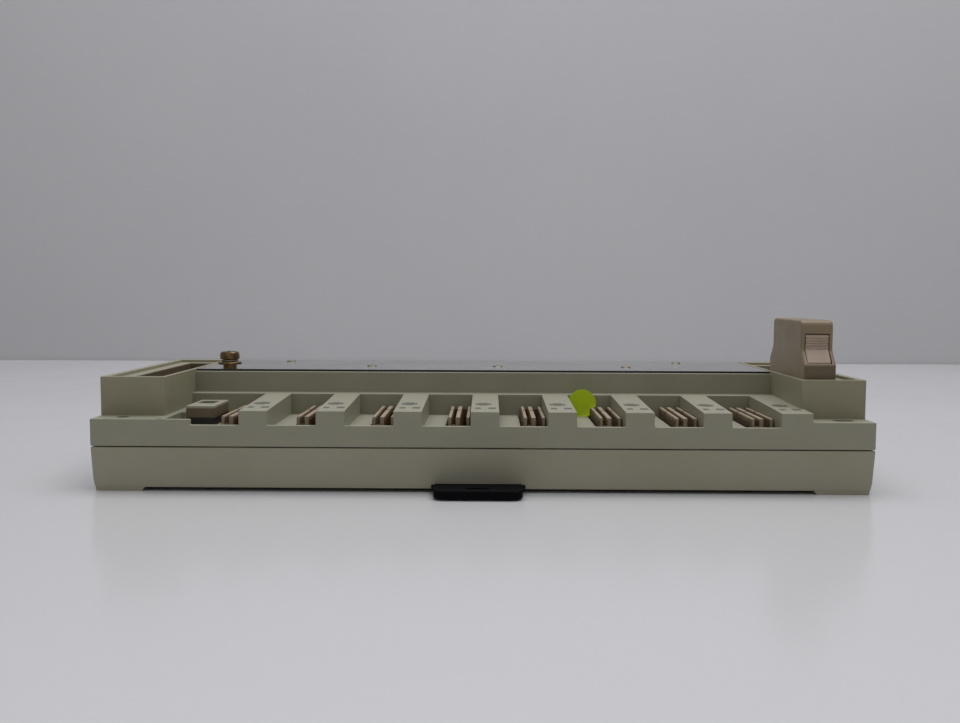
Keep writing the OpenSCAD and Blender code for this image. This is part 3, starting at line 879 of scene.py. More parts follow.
@dataclass
class UpperShell(Assembly):
    """The top moulding: front wall, ribs, floor with connector pits, rear block and the two wells.

    Where two of its solids share a face, one stays back by the field called back, so that no faces coincide.

    Attributes:
        inner: where the wells begin.
        cavity: X of a well's inside, near the middle of the housing and at its end.
        opening: far side of the slot in the well's ledge.
        rib_end: right end of the last rib.
        seam: height of its lower edge.
        bottom: height at which its hidden solids end.
        lip: height of the front wall before the slots.
        bar: height of the ribs at the front.
        shelf: height of the end shelves.
        floor: height of the floor between the ribs.
        rim: height of the wells.
        well_ledge: height of the ledge inside the wells.
        ledge: height of the ledge behind the slots.
        block_top: height of the rear block under the plate.
        slot_end: rear end of the slots.
        block_y: front face of the rear block.
        back: how far a shared face stays back.
    """

    inner: float = 147.5
    cavity: tuple[float, float] = (149.3, 174.1)
    opening: float = 168.1
    rib_end: float = 149.0
    seam: float = 20.43
    bottom: float = 21.0
    lip: float = 30.2
    bar: float = 36.9
    shelf: float = 32.8
    floor: float = 28.4
    rim: float = 50.9
    well_ledge: float = 49.4
    ledge: float = 39.0
    block_top: float = 49.6
    slot_end: float = 57.0
    block_y: float = 63.0
    back: float = 0.03

    def front_outline(self) -> Outline:
        """The front wall's outline in X and Z: high at the ribs, low in the slots, in between at both ends.

        Returns:
            The outline with small arcs at its corners.
        """
        h, shelf, bar = HALF - self.back, self.shelf - self.back, self.bar - self.back
        pts = [(-h, self.seam), (h, self.seam), (h, shelf), (self.rib_end, shelf), (self.rib_end, bar)]
        for i in reversed(range(SLOTS)):
            right, left = slot_right(i) + self.back, slot_left(i) - self.back
            pts += [(right, bar), (right, self.lip), (left, self.lip), (left, bar if i else shelf)]
        pts += [(-h, shelf)]
        return Outline(pts, 0.55, 3)

    def ribs(self) -> Shape:
        """The ribs between the slots, which rise from the front wall to the ledge.

        Returns:
            All the ribs.
        """
        ribs, y0, y1, top = Shape(), self.back, self.slot_end + 1, self.ledge - self.back
        line = [(y0, self.bottom), (y1, self.bottom), (y1, top), (y1 - 1, top), (y0, self.bar)]
        side = Outline(line, [0, 0, 0, 0, 0.5])
        for i in range(SLOTS):
            end = slot_left(i + 1) if i < SLOTS - 1 else self.rib_end + 0.2
            ribs.merge(prism(side, Axis.X, slot_right(i), end, 0.4))
        return ribs

    def left_ledge(self) -> Shape:
        """The strip beside the left well, with a short cross rib behind the switch.

        Returns:
            Both solids.
        """
        x, top = -self.inner, self.shelf - self.back
        ledge = round_box((x - 0.5, 0.1, self.bottom), (x + 3, self.slot_end + 1, top), 0.4)
        return ledge.merge(round_box((x, 28, self.bottom), (x + 6, 30, top - self.back), 0.4))

    def rear_block(self) -> Piece:
        """The hollow block behind the slots, with the ledge before it and a step for the plate's flange.

        Returns:
            The piece.
        """
        w, y0, y1, y2 = self.inner, self.slot_end, self.block_y, DEPTH
        flange, top, ledge = 40.8, self.block_top, self.ledge
        side = [(y0, self.bottom), (y2, self.bottom), (y2, flange), (y2 - 1, flange), (y2 - 1, top), (y1, top)]
        side += [(y1, ledge), (y0, ledge)]
        block = prism(Outline(side, [0, 0, 0.3, 0.1, 0.2, 0.5, 0.3, 0.5]), Axis.X, -w - 1, w + 1, 0.2)
        hollow = round_box((-w + 2.4, y1 + 2.4, 10), (w - 2.4, y2 - 3.5, 47), 0.5, 1)
        cut = (hollow, lathe([(3.6, 44), (3.6, 55)], EARTH, 24))
        return Piece("upper_rear_block", block, ABS_TOP, "deck_plastic", ("rear_block",), cutters=cut)

    def well(self, side: int, node: str) -> list[Piece]:
        """One end well with the shelf before it.

        Args:
            side: -1 for the left end, 1 for the right end.
            node: the CAD node that it stands for.

        Returns:
            The walls, the dark brown liner in the empty left well, which is painted shade, and the shelf.
        """
        near, far = self.cavity
        a, b = sorted((side * self.inner, side * (HALF - self.back)))
        c0, c1 = sorted((side * near, side * far))
        d0, d1 = sorted((side * (near + self.back), side * self.opening))
        walls = ring_prism((a, b, 13.2, DEPTH), (c0, c1, 15.8, 126.4), self.seam, self.rim, 0.4)
        lining = (c0 - 0.3, c1 + 0.3, 15.5, 126.7)
        walls.merge(ring_prism(lining, (d0, d1, 15.9, 121), 22, self.well_ledge, 0.3))
        walls.merge(round_box((a + 2, 14, 22), (b - 2, 126, 24), 0.2, 1))
        made = [Piece(f"{node}_walls", walls, ABS_WELL, "well_plastic", (node,))]
        if side < 0:
            # a dark brown liner inside the empty left well: painted shade for the well's dark depth
            outer, hole = (d0 + 0.05, d1 - 0.05, 16, 120.9), (d0 + 0.5, d1 - 0.5, 16.5, 120.4)
            shade_liner = ring_prism(outer, hole, 24.5, self.well_ledge - 0.3, 0.1)
            made.append(Piece(f"{node}_sleeve", shade_liner, ABS_PAINTED_SHADE, "well_plastic"))
        a, b = sorted((side * (self.inner + self.back), side * HALF))
        shelf = round_box((a, 2 * self.back, 20.5), (b, 14.5, self.shelf), 0.4)
        cut = [lathe([(2.9, 10), (2.9, 40)], (side * SHELF_HOLE_X, SHELF_HOLE_Y), 40)]
        if side > 0:
            # the right hole stands in a shallow oblong recess
            x0, x1, y0, y1 = SHELF_HOLE_X - 4.8, SHELF_HOLE_X + 4.8, SHELF_HOLE_Y - 3, SHELF_HOLE_Y + 3
            oblong = Outline([(x0, y0), (x1, y0), (x1, y1), (x0, y1)], 2.9, 8)
            cut.append(prism(oblong, Axis.Z, self.shelf - 1.4, 40, 0.05, 1))
        made.append(Piece(f"{node}_shelf", shelf, ABS_TOP, "well_plastic", cutters=tuple(cut)))
        return made

    def pieces(self) -> list[Piece]:
        """Lists the parts of the moulding.

        Returns:
            The pieces.
        """
        wall = prism(self.front_outline(), Axis.Y, 0, 2.5, 0.4)
        far = (self.rib_end + 0.5, self.slot_end + 1, self.floor)
        floor = round_box((-self.inner - 1, 1, 23.6), far, 0.1, 1)
        pits = [
            round_box((slot_left(i) + 10, 2.5, 15), (slot_right(i) + 0.3, 56.2, 32), 0.3, 1) for i in range(SLOTS)
        ]
        pits.append(round_box((-140.1, 12.5, 15), (-124.1, 39.5, 32), 0.3, 1))
        return [
            Piece("upper_front_wall", wall, ABS_TOP, "deck_plastic", ("slot_deck",)),
            Piece("upper_ribs", self.ribs(), ABS_TOP, "deck_plastic", ("slot_ribs",)),
            Piece("upper_left_ledge", self.left_ledge(), ABS_TOP, "deck_plastic"),
            Piece("upper_floor", floor, ABS_TOP, "deck_plastic", cutters=tuple(pits)),
            self.rear_block(),
            *self.well(-1, "in_well"),
            *self.well(1, "out_well"),
        ]


@dataclass
class RibMarks(Assembly):
    """Plain pad-printed marks on the ribs: two short bars near the front, and a rounded patch behind them.

    Attributes:
        places: x0, x1, y0, y1 of each bar, counted from the rib's left edge and the front face.
    """

    places: tuple[tuple[float, float, float, float], ...] = (
        (2.0, 3.8, 20.4, 25.4),
        (3.8, 7.6, 19.0, 27.0),
        (7.6, 9.4, 20.6, 25.2),
        (1.9, 4.6, 8.6, 12.6),
        (8.0, 11.6, 8.6, 13.0),
    )

    def pieces(self) -> list[Piece]:
        """Lists the printed marks.

        Returns:
            One piece with all the marks.
        """
        marks = Shape()
        shell = UpperShell()
        for i in range(SLOTS):
            x = slot_right(i)
            for x0, x1, y0, y1 in self.places:
                # a rib's top climbs from the front to the ledge, and the ink lies 0.03 mm above it
                rise = shell.bar + 0.03 + (shell.ledge - shell.bar) * np.array([y0, y1]) / shell.slot_end
                tilt = Outline([(y0, 36), (y1, 36), (y1, rise[1]), (y0, rise[0])])
                marks.merge(prism(tilt, Axis.X, x + x0, x + x1, 0.01, 1))
        return [Piece("rib_marks", marks, INK, "deck_plastic")]


@dataclass
class GroundPlate(Assembly):
    """The bright plate over the rear block, with its fixings."""

    x: float = 147.4
    y0: float = 64.2
    y1: float = 129.9
    z0: float = 49.95
    z1: float = 50.6

    def sheet(self) -> Shape:
        """A rolled sheet whose faces carry a very slow wave of a few hundredths of a millimetre.

        Returns:
            The closed sheet, with its edges turned by a small radius.
        """
        s = round_box((-self.x, self.y0, self.z0), (self.x, self.y1, self.z1), 0.3)
        nx, ny = 90, 16
        x1, y0, y1 = self.x - 0.3, self.y0 + 0.3, self.y1 - 0.3
        u, v = np.meshgrid(np.linspace(-x1, x1, nx), np.linspace(y0, y1, ny), indexing="ij")
        # the wave dies away over the last 8 mm before each edge
        edge = np.minimum(np.minimum(u + x1, x1 - u) / 8, np.minimum(v - y0, y1 - v) / 8).clip(0, 1)
        wave = 0.018 * np.sin(u / 19.0 + 0.6 * np.sin(v / 11.0)) + 0.012 * np.sin(u / 7.3 + v / 9.0)
        top = np.stack([u, v, self.z1 - 0.03 + (0.032 + wave) * edge], -1).reshape(-1, 3)
        low = top * [1, 1, 0] + [0, 0, self.z0 + 0.3]
        q = bands(nx, ny, wrap=False, flip=True)
        sides = [np.arange(nx) * ny, (nx - 1) * ny + np.arange(1, ny)]
        sides += [np.arange(nx - 1)[::-1] * ny + ny - 1, np.arange(1, ny - 1)[::-1]]
        rim = np.concatenate(sides)
        n = nx * ny
        walls = np.stack([rim + n, np.roll(rim, -1) + n, np.roll(rim, -1), rim], 1)
        s.add(np.vstack([top, low]), np.vstack([q, q[:, ::-1] + n, walls]))
        return s

    def pieces(self) -> list[Piece]:
        """Lists the plate, its turned-down rear edge and its screws.

        Returns:
            The pieces.
        """
        x, y0 = self.x - 0.2, self.y0
        # dark strip along the sheet's front edge that reaches below it: painted shadow line
        edge = round_box((-x, y0 - 0.3, self.z0 - 0.3), (x, y0 + 0.5, self.z1 + 0.02), 0.12, 1)
        flange = round_box((-self.x, DEPTH - 0.95, 41), (self.x, DEPTH, 50.2), 0.25)
        spots = [(-60, 90), (8, 90), (77, 90), (-110, 122), (110, 122)]
        low_head = [(1.5, 42), (1.5, 50.6), (2.5, 50.61), (2.6, 50.75), (2.4, 50.98), (1.8, 51.09)]
        low_head += [(0.01, 51.1)]
        screws, cuts = Shape(), []
        for x, y in spots:
            screws.merge(lathe(low_head, (x, y), 28))
            for dx, dy in CROSS:
                cuts.append(round_box((x - dx, y - dy, 50.8), (x + dx, y + dy, 53), 0.05, 1))
        hole = lathe([(3.5, 45), (3.5, 55)], EARTH, 36)
        return [
            Piece("plate_sheet", self.sheet(), NICKEL, "plate_metal", ("ground_plate",), cutters=(hole,)),
            Piece("plate_edge_shadow_line", edge, PLATE_EDGE_SHADE, "plate_metal"),
            Piece("plate_rear_flange", flange, NICKEL, "plate_metal"),
            Piece(
                "plate_screw_heads", screws, SPRING_STEEL, "dark_screw", ("plate_screws",), cutters=tuple(cuts)
            ),
        ]


@dataclass
class GroundScrew(Assembly):
    """The loose earth screw with its washers, standing in a threaded collar."""

    x: float = EARTH[0]
    y: float = EARTH[1]
    head_r: float = 5.0
    washer_r: float = 6.0

    def pieces(self) -> list[Piece]:
        """Lists the collar, screw and washers.

        Returns:
            The pieces.
        """
        c = (self.x, self.y)
        collar = lathe([(2.55, 49.7), (3.45, 49.7), (3.45, 52.1), (3.15, 52.38), (2.55, 52.38)], c, 40)
        thread_z = np.linspace(42, 55.3, 160)
        pitch = 0.8

        def ridge(a: np.ndarray, r: np.ndarray, z: np.ndarray) -> np.ndarray:
            # radius swings by 0.18 mm with the phase of a helix, z / pitch - angle / (2 pi)
            phase = (z / pitch - a / (2 * math.pi)) % 1.0
            return np.where((r > 1) & (z > 42.2), 0.36 * (np.abs(phase - 0.5) * 2 - 0.5) - 0.05, 0.0)

        shank = lathe([(0.01, 41.9)] + [(2.2, z) for z in thread_z] + [(0.01, 55.31)], c, 40, ridge)
        t = np.linspace(0, math.pi / 2, 9)
        dome = [(self.head_r - 1.5 * (1 - math.cos(a)), 57.0 + 2.3 * math.sin(a)) for a in t[:6]]
        head = lathe(
            [(0.01, 55.2), (self.head_r - 0.3, 55.2), (self.head_r, 55.5), (self.head_r, 57.0)]
            + dome[1:]
            + [(2.6, 59.25), (1.4, 59.28), (0.01, 59.28)],
            c,
            56,
        )
        cross = []
        for dx, dy in ((2.9, 0.55), (0.55, 2.9)):
            cross.append(round_box((self.x - dx, self.y - dy, 57.7), (self.x + dx, self.y + dy, 61), 0.1, 1))
        cross.append(round_box((self.x - 4.6, self.y - 0.4, 58.7), (self.x + 4.6, self.y + 0.4, 61), 0.05, 1))
        # split washer: a square wire wound almost once, its ends a little apart in height
        a = np.radians(np.linspace(96, 96 + 352, 60))
        lift = np.linspace(-0.22, 0.22, 60)
        path = np.stack([self.x + 3.45 * np.cos(a), self.y + 3.45 * np.sin(a), 54.41 + lift], 1)
        sec = Outline([(-0.82, -0.52), (0.82, -0.52), (0.82, 0.52), (-0.82, 0.52)], 0.2, 2).ring()
        split = sweep(path, sec)
        r = self.washer_r
        ring = [(2.65, 52.42), (r - 0.2, 52.42), (r, 52.6), (r, 53.45), (r - 0.2, 53.62), (2.65, 53.62)]
        flat = lathe(ring, c, 56)
        return [
            Piece("screw_collar", collar, BRASS, "screw_brass", ("ground_boss",)),
            Piece("screw_shank", shank, BRASS, "screw_brass", sharp_deg=60, body=Body.SCREW),
            Piece(
                "screw_head", head, BRASS, "screw_brass", ("ground_screw",), cutters=tuple(cross), body=Body.SCREW
            ),
            Piece("split_washer", split, SPRING_STEEL, "washer_steel", ("spring_washer",), body=Body.SCREW),
            Piece("plain_washer", flat, BRASS, "screw_brass", ("flat_washer",), body=Body.SCREW),
        ]


@dataclass
class SlotConnector(Assembly):
    """One board connector: a brown body with three walls, pale strips on them, and two rows of contacts."""

    index: int = 0
    y0: float = 11.2
    y1: float = 55.8
    top: float = 33.0
    key_y: float = 39.0

    def pieces(self) -> list[Piece]:
        """Lists the body, the strips and the contacts.

        Returns:
            The pieces.
        """
        x, n = slot_left(self.index), self.index + 1
        walls = [(11.3, 13.1), (14.9, 17.0), (19.8, 21.5)]
        body = round_box((x + 11.2, self.y0, 17.6), (x + 21.6, self.y1, 23.0), 0.3, 1)
        for x0, x1 in walls:
            for a, b in ((self.y0, self.key_y - 1.1), (self.key_y + 1.1, self.y1)):
                body.merge(round_box((x + x0, a, 22), (x + x1, b, 32.3), 0.25, 1))
            low, high = (x + x0 + 0.1, self.key_y - 1.3, 22), (x + x1 - 0.1, self.key_y + 1.3, 27.5)
            body.merge(round_box(low, high, 0.1, 1))
        # closing walls at the two ends of the left half, and the foot of the tongue
        body.merge(round_box((x + 11.4, self.y1 - 1.3, 22), (x + 21.4, self.y1, 31.8), 0.2, 1))
        body.merge(round_box((x + 16.6, self.y0, 22), (x + 18.6, self.y0 + 1.4, 28.5), 0.2, 1))
        body.merge(round_box((x + 11.4, self.y0, 22), (x + 15.2, self.y0 + 1.4, 29.4), 0.2, 1))
        # ribs between the contacts on the outer face of the left wall
        for k in range(CONTACTS):
            y = 13.9 + 2 * k
            if abs(y - self.key_y) > 1.6:
                body.merge(round_box((x + 10.95, y - 0.3, 19), (x + 11.5, y + 0.3, 31), 0.1, 1))
        strips = Shape()
        for x0, x1 in ((11.5, 12.9), (14.95, 16.95), (19.9, 21.3)):
            for a, b in ((self.y0 - 0.12, self.key_y - 1.3), (self.key_y + 1.3, self.y1 - 0.9)):
                strips.merge(round_box((x + x0, a, 31.6), (x + x1, b, self.top), 0.22))
            low, high = (x + x0 + 0.1, self.y0 - 0.15, 28.6), (x + x1 - 0.1, self.y0 + 0.5, 32.0)
            strips.merge(round_box(low, high, 0.12, 1))
        blades, section = Shape(), np.array([(-0.5, -0.12), (0.5, -0.12), (0.5, 0.12), (-0.5, 0.12)])
        for k in range(CONTACTS):
            y = 14.5 + 2 * k
            for x0, x1, lean in ((14.5, 14.9, -0.45), (17.0, 17.4, 0.45)):
                # each blade stands up beside the tongue and bows away from it near its tip
                t = np.linspace(0, 1, 6)
                mid = (x0 + x1) / 2 + lean * np.sin(math.pi * t) ** 2
                z = 21.5 + 9.8 * t
                path = np.stack([x + mid, np.full(6, y), z], 1)
                blades.merge(sweep(path, section, np.array([1.0, 0, 0])))
        return [
            Piece(f"connector_{n}_body", body, PBT_BROWN, "connector_brown", (f"slot_{n}_housing",)),
            Piece(f"connector_{n}_strips", strips, PBT_TAN, "connector_brown"),
            Piece(f"connector_{n}_blades", blades, GOLD, "contact_gold", (f"slot_{n}_contacts",)),
        ]


@dataclass
class WellConnector(Assembly):
    """The shrouded connector at the bottom of an end well."""

    side: str = "in"
    x: float = -END_X
    y: float = END_Y

    def pieces(self) -> list[Piece]:
        """Lists the shroud with its tongue, the contacts and the spring clips.

        Returns:
            The pieces.
        """
        x, y = self.x, self.y
        outer, opening = (x - 6.5, x + 6.5, y - 23.5, y + 23.5), (x - 5, x + 5, y - 22, y + 22)
        shroud = ring_prism(outer, opening, 17.7, 44.0, 0.3, 1.2)
        shroud.merge(round_box((x - 6, y - 23, 18), (x + 6, y + 23, 26), 0.2, 1))
        shroud.merge(round_box((x - 1.2, y - 20.5, 25), (x + 1.2, y + 20.5, 41), 0.4))
        blades = Shape()
        for k in range(CONTACTS):
            for m in (-1, 1):
                a, b = sorted((x + m * 1.2, x + m * 1.5))
                blades.merge(round_box((a, y - 19.4 + 2 * k, 26), (b, y - 18.6 + 2 * k, 40), 0.1, 1))
        clips = Shape()
        strip = [(21.25, 30), (20.9, 30), (20.9, 41.6), (20, 42.2), (20, 42.8), (20.9, 43.9), (21.25, 43.9)]
        leaf = Outline(strip)
        clips.merge(prism(leaf, Axis.X, x - 3.2, x + 3.2, 0.05, 1))
        clips.merge(prism(leaf.mirrored(y), Axis.X, x - 3.2, x + 3.2, 0.05, 1))
        s = self.side
        return [
            Piece(f"{s}_shroud", shroud, PBT_BROWN, "connector_brown", (f"{s}_connector",)),
            Piece(f"{s}_blades", blades, GOLD, "contact_gold", (f"{s}_contacts",)),
            Piece(f"{s}_spring_clips", clips, SPRING_STEEL, "clip_steel", (f"{s}_clips",)),
        ]


@dataclass
class RackSwitch(Assembly):
    """The small black slide switch with a pale windowed cap, beside the first slot."""

    def pieces(self) -> list[Piece]:
        """Lists the body, cap and slider.

        Returns:
            The pieces.
        """
        body = round_box((-137.8, 13, 17.7), (-124.4, 39, 32.0), 0.3)
        pocket = round_box((-137, 23.4, 30), (-127.2, 36.6, 40), 0.2, 1)
        # the frame under the lid is dark brown: painted shade on the cap's front face
        frame = ring_prism((-137.7, -124.5, 13.1, 38.9), (-136.2, -128, 24.4, 35.6), 32.0, 36.3, 0.3, 0.6)
        lid = ring_prism((-137.8, -124.4, 13, 39), (-136.2, -128, 24.4, 35.6), 36.25, 37.4, 0.35, 0.6)
        slider = round_box((-136.8, 24, 30.1), (-127.4, 31.2, 31.9), 0.2)
        slider.merge(round_box((-134.1, 26, 31.5), (-130.1, 29.6, 36.4), 0.35))
        for k in range(3):
            slider.merge(round_box((-133.9, 26.5 + k * 1.1, 36.0), (-130.3, 26.9 + k * 1.1, 36.6), 0.1, 1))
        return [
            Piece("rack_switch_body", body, NYLON, "switch_black", ("switch_body",), cutters=(pocket,)),
            Piece("rack_switch_cap_lid", lid, ABS_TOP, "deck_plastic", ("switch_cap",)),
            Piece("rack_switch_cap_shade_frame", frame, ABS_PAINTED_SHADE, "deck_plastic"),
            Piece("rack_switch_slider", slider, PBT_TAN, "switch_black", ("switch_slider",), body=Body.SLIDER),
        ]


@dataclass
class Sticker(Assembly):
    """The blank round sticker standing in a slot: a disc of paper with a curled lower edge."""

    x: float = 49.9
    y: float = 51.15
    z: float = 35.2
    r: float = 7.0

    def pieces(self) -> list[Piece]:
        """Lists the sticker.

        Returns:
            One piece: a polar grid of two faces 0.12 mm apart. The paper leans back by a slow arc, and its lower
            right edge curls forward, more steeply towards its rim.
        """
        na, nr = 72, 14
        a = np.linspace(0, 2 * math.pi, na, endpoint=False)
        rr = np.linspace(0.02, 1, nr) * self.r
        u = rr[:, None] * np.cos(a)
        v = rr[:, None] * np.sin(a)
        far = np.clip((0.55 * u - 0.83 * v) / self.r - 0.5, 0, 1)
        depth = 0.012 * (u**2) * 0.3 - 2.6 * far**2 * 2.0
        depth = np.clip(depth, -3.0, 3.0)
        limit = np.minimum(u, 3.95 + 20 * np.clip((v + 2.3), 0, 1))
        v = np.maximum(v, -6.65)
        front = np.stack([self.x + np.where(v < -2.2, limit, u), self.y + depth, self.z + v], -1).reshape(-1, 3)
        rear = front + [0, 0.12, 0]
        n = na * nr
        q = bands(nr, na, flip=True)
        k = np.arange(na)
        here, beside = (nr - 1) * na + k, (nr - 1) * na + (k + 1) % na
        edge = np.stack([here, here + n, beside + n, beside], 1)
        caps = [tuple(k), tuple(k[::-1] + n)]
        faces = [tuple(f) for f in np.vstack([q, q[:, ::-1] + n, edge])] + caps
        s = Shape().add(np.vstack([front, rear]), faces)
        return [Piece("paper_dot", s, PAPER, "dot_green", ("inspection_dot",), sharp_deg=50)]


@dataclass
class RailLatch(Assembly):
    """The black sliding latch and its spring."""

    x: float = -1.5
    out: float = 18.5
    w: float = 19.7

    def pieces(self) -> list[Piece]:
        """Lists the latch and the coil spring.

        Returns:
            The pieces.
        """
        w, o, x = self.w, self.out, self.x
        low = Outline([(x - w, 46), (x - w, -o), (x + w, -o), (x + w, 46)], [0.5, 6, 6, 0.5], 8)
        slab = prism(low, Axis.Z, 0.7, 3.6, 0.3)
        half = [(-21.3, 41.5), (-21.3, -2), (0.2 - w, 8 - o)]
        wide = Outline([(x + u, v) for u, v in half] + [(x - u, v) for u, v in half[::-1]], 1.0, 4)
        grip = Outline([(x - w, -1.2), (x - w, -o), (x + w, -o), (x + w, -1.2)], [0.5, 4.5, 4.5, 0.5], 8)
        jaw = [(44.4, 0.7), (47.4, 0.7), (49.2, 3.4), (49.2, 6.5), (44.4, 6.5)]
        joins = (
            prism(wide, Axis.Z, 2.62, 3.58, 0.25),
            prism(Outline(jaw, 0.4), Axis.X, x - w, x + w, 0.3),
            prism(grip, Axis.Z, 0.7, 4.4, 0.5, 3),
        )
        windows = (
            round_box((x - 3.2, 13.4, -1), (x + 3.2, 36, 8), 0.3, 1),
            round_box((x - 5, 5 - o, -1), (x + 5, 7.6 - o, 8), 0.6, 2),
        )
        t = np.linspace(0, 1, 190)
        a = 2 * math.pi * 7 * t
        # coil: the end turns lie closer together, as on a ground compression spring
        y = 21.1 + 14.4 * (t + 0.05 * np.sin(2 * math.pi * t) * -1)
        path = np.stack([x + 1.7 * np.cos(a), y, 3.2 + 1.7 * np.sin(a)], 1)
        coil = sweep(path, circle(0.34, 8), np.array([0.0, 1.0, 0.0]))
        return [
            Piece(
                "latch_slider",
                slab,
                POM_BLACK,
                "latch_black",
                ("din_latch",),
                joins=joins,
                cutters=windows,
                body=Body.LATCH,
            ),
            Piece(
                "latch_coil",
                coil,
                SPRING_STEEL,
                "clip_steel",
                ("latch_spring",),
                bend=(Body.LATCH, (x, 21.1, 3.2), (x, 35.5, 3.2)),
            ),
        ]


@dataclass
class TerminatingPlug(Assembly):
    """The plug: a two-part hood with a flared foot, an insert with blades, a board and two squeeze levers.

    Attributes:
        x: middle of the plug along X.
        y: middle of the plug along Y.
        top: height of the hood.
        half_width: half its width across X.
        screw_z: heights of the two cross screws.
        pin_y: Y of the front lever's pin.
        pin_z: height of both pins.
    """

    x: float = END_X
    y: float = END_Y
    top: float = 78.2
    half_width: float = 7.5
    screw_z: tuple[float, float] = (66.0, 51.0)
    pin_y: float = 19.9
    pin_z: float = 54.0

    def side_outline(self) -> Outline:
        """The hood seen from its side, in Y and Z.

        Returns:
            The outline with rounded shoulders.
        """
        pts = [(16.5, 44.1), (73, 44.1), (73, 57.6), (67.5, 64.2), (67.5, self.top)]
        pts += [(22, self.top), (22, 64.2), (16.5, 57.6)]
        return Outline(pts, [0.3, 0.3, 1.0, 3.0, 3.0, 3.0, 3.0, 1.0], 6)

    def hood(self) -> Shape:
        """The hood as slices across X. Near both faces the side outline is pulled in along a quarter circle.

        Returns:
            The closed outer shape.
        """
        x, w = self.x, self.half_width
        return prism(self.side_outline(), Axis.X, x - w, x + w, 0.9, 4)

    def bays(self) -> list[Shape]:
        """The lever bays and recesses at both ends of the hood.

        Returns:
            The shapes to cut out.
        """
        out, x = [], self.x
        boxes = ((10, 27, 59, 71.9), (17.7, 22.2, 40, 63), (10, 22.5, 58, 71.9), (10, 18, 40, 49))
        for m in (False, True):
            for y0, y1, z0, z1 in boxes:
                a, b = sorted((2 * self.y - y0, 2 * self.y - y1) if m else (y0, y1))
                out.append(round_box((x - 5.8, a, z0), (x + 5.8, b, z1), 0.3, 1))
        return out

    def leaf_spring(self, end: str, outline: Outline, lever: Body) -> Piece:
        """A leaf spring held in the hood at its foot, whose tip gives way before the lever.

        Args:
            end: front or rear.
            outline: the strip's edge in Y and Z.
            lever: body that bears on the tip.

        Returns:
            The piece.
        """
        strip = prism(outline, Axis.X, self.x - 2, self.x + 2, 0.05, 1)
        y = self.y - 18 if end == "front" else self.y + 18
        bend = (lever, (self.x, y, 61.5), (self.x, y, 69.6))
        return self.part(f"{end}_leaf", strip, SPRING_STEEL, "clip_steel", f"lever_spring_{end}", bend=bend)

    def lever_outline(self, wide: bool) -> Outline:
        """The lever seen from its side: five rounded ridges near the head, then a slope outwards to the pivot.

        Args:
            wide: True for the upper part, False for the whole arm down to its hook.

        Returns:
            The outline in Y and Z, for the front lever.
        """
        z = np.linspace(65.2, 71.1, 71)[::-1]
        # the face swings by 0.24 mm with the height's phase, its sine cut off so that the ridges have flat tops
        ridge = 21.95 - 0.24 * np.clip(1.6 * np.sin(2 * math.pi * (z - 65.2) / 1.18 - 0.6), -1, 1)
        pts = [(float(y), float(h), 0.0) for y, h in zip(ridge, z)]
        pts += [(22.2, 64.8, 1.0), (17.9, 58.6, 1.2), (18.0, 54, 0.3)]
        if wide:
            pts += [(18.2, 51.4, 0.3), (20.6, 51.4, 0.3)]
        else:
            pts += [(18.3, 52, 0.3), (18.3, 39.9, 0.3), (20, 39.9, 0.2), (20.6, 40.6, 0.1), (20.6, 41.6, 0.1)]
            pts += [(19.8, 41.6, 0.1), (19.8, 50, 0.5)]
        pts += [(21.7, 53, 0.8), (21.6, 59.4, 1.0), (24.3, 64.4, 0.8), (24.3, 71.4, 0.6), (22.3, 71.4, 0.2)]
        return Outline([p[:2] for p in pts], [p[2] for p in pts], 4)

    def pieces(self) -> list[Piece]:
        """Lists all pieces of the plug.

        Returns:
            The pieces.
        """
        x, y = self.x, self.y
        cavity = round_box((x - 5, 28.6, 30), (x + 5, 60.9, self.top - 1.8), 0.5, 1)
        seat = round_box((x - 5.85, 22.3, 30), (x + 5.85, 67.2, 47.2), 0.2, 1)
        keep_left = round_box((x, 0, 30), (x + 30, 90, 90), 0.01, 1)
        keep_right = round_box((x - 30, 0, 30), (x, 90, 90), 0.01, 1)
        holes = tuple(prism(self.disc(2.3, 28, y, z), Axis.X, x + 5.6, x + 9, 0.05, 1) for z in self.screw_z)
        cuts, shell = (cavity, seat, *self.bays()), self.hood()
        left, right = (keep_left, *cuts), (keep_right, *cuts, *holes)
        end_shade_plates = Shape()
        # thin dark brown plates over both end faces of the flared foot: painted shade on the foot
        for front in (16.3, 2 * y - 16.9):
            end_shade_plates.merge(round_box((x - 7.1, front, 50.9), (x + 7.1, front + 0.6, 57.3), 0.25, 2))
        return [
            self.part("hood_left_half", shell, ABS_HOOD, "hood_plastic", "plug_hood_left", cutters=left),
            self.part("hood_right_half", shell, ABS_HOOD, "hood_plastic", "plug_hood_right", cutters=right),
            self.part("plug_end_painted_shade_plates", end_shade_plates, ABS_PAINTED_SHADE, "hood_plastic"),
            *self.contents(),
            *self.levers(),
        ]

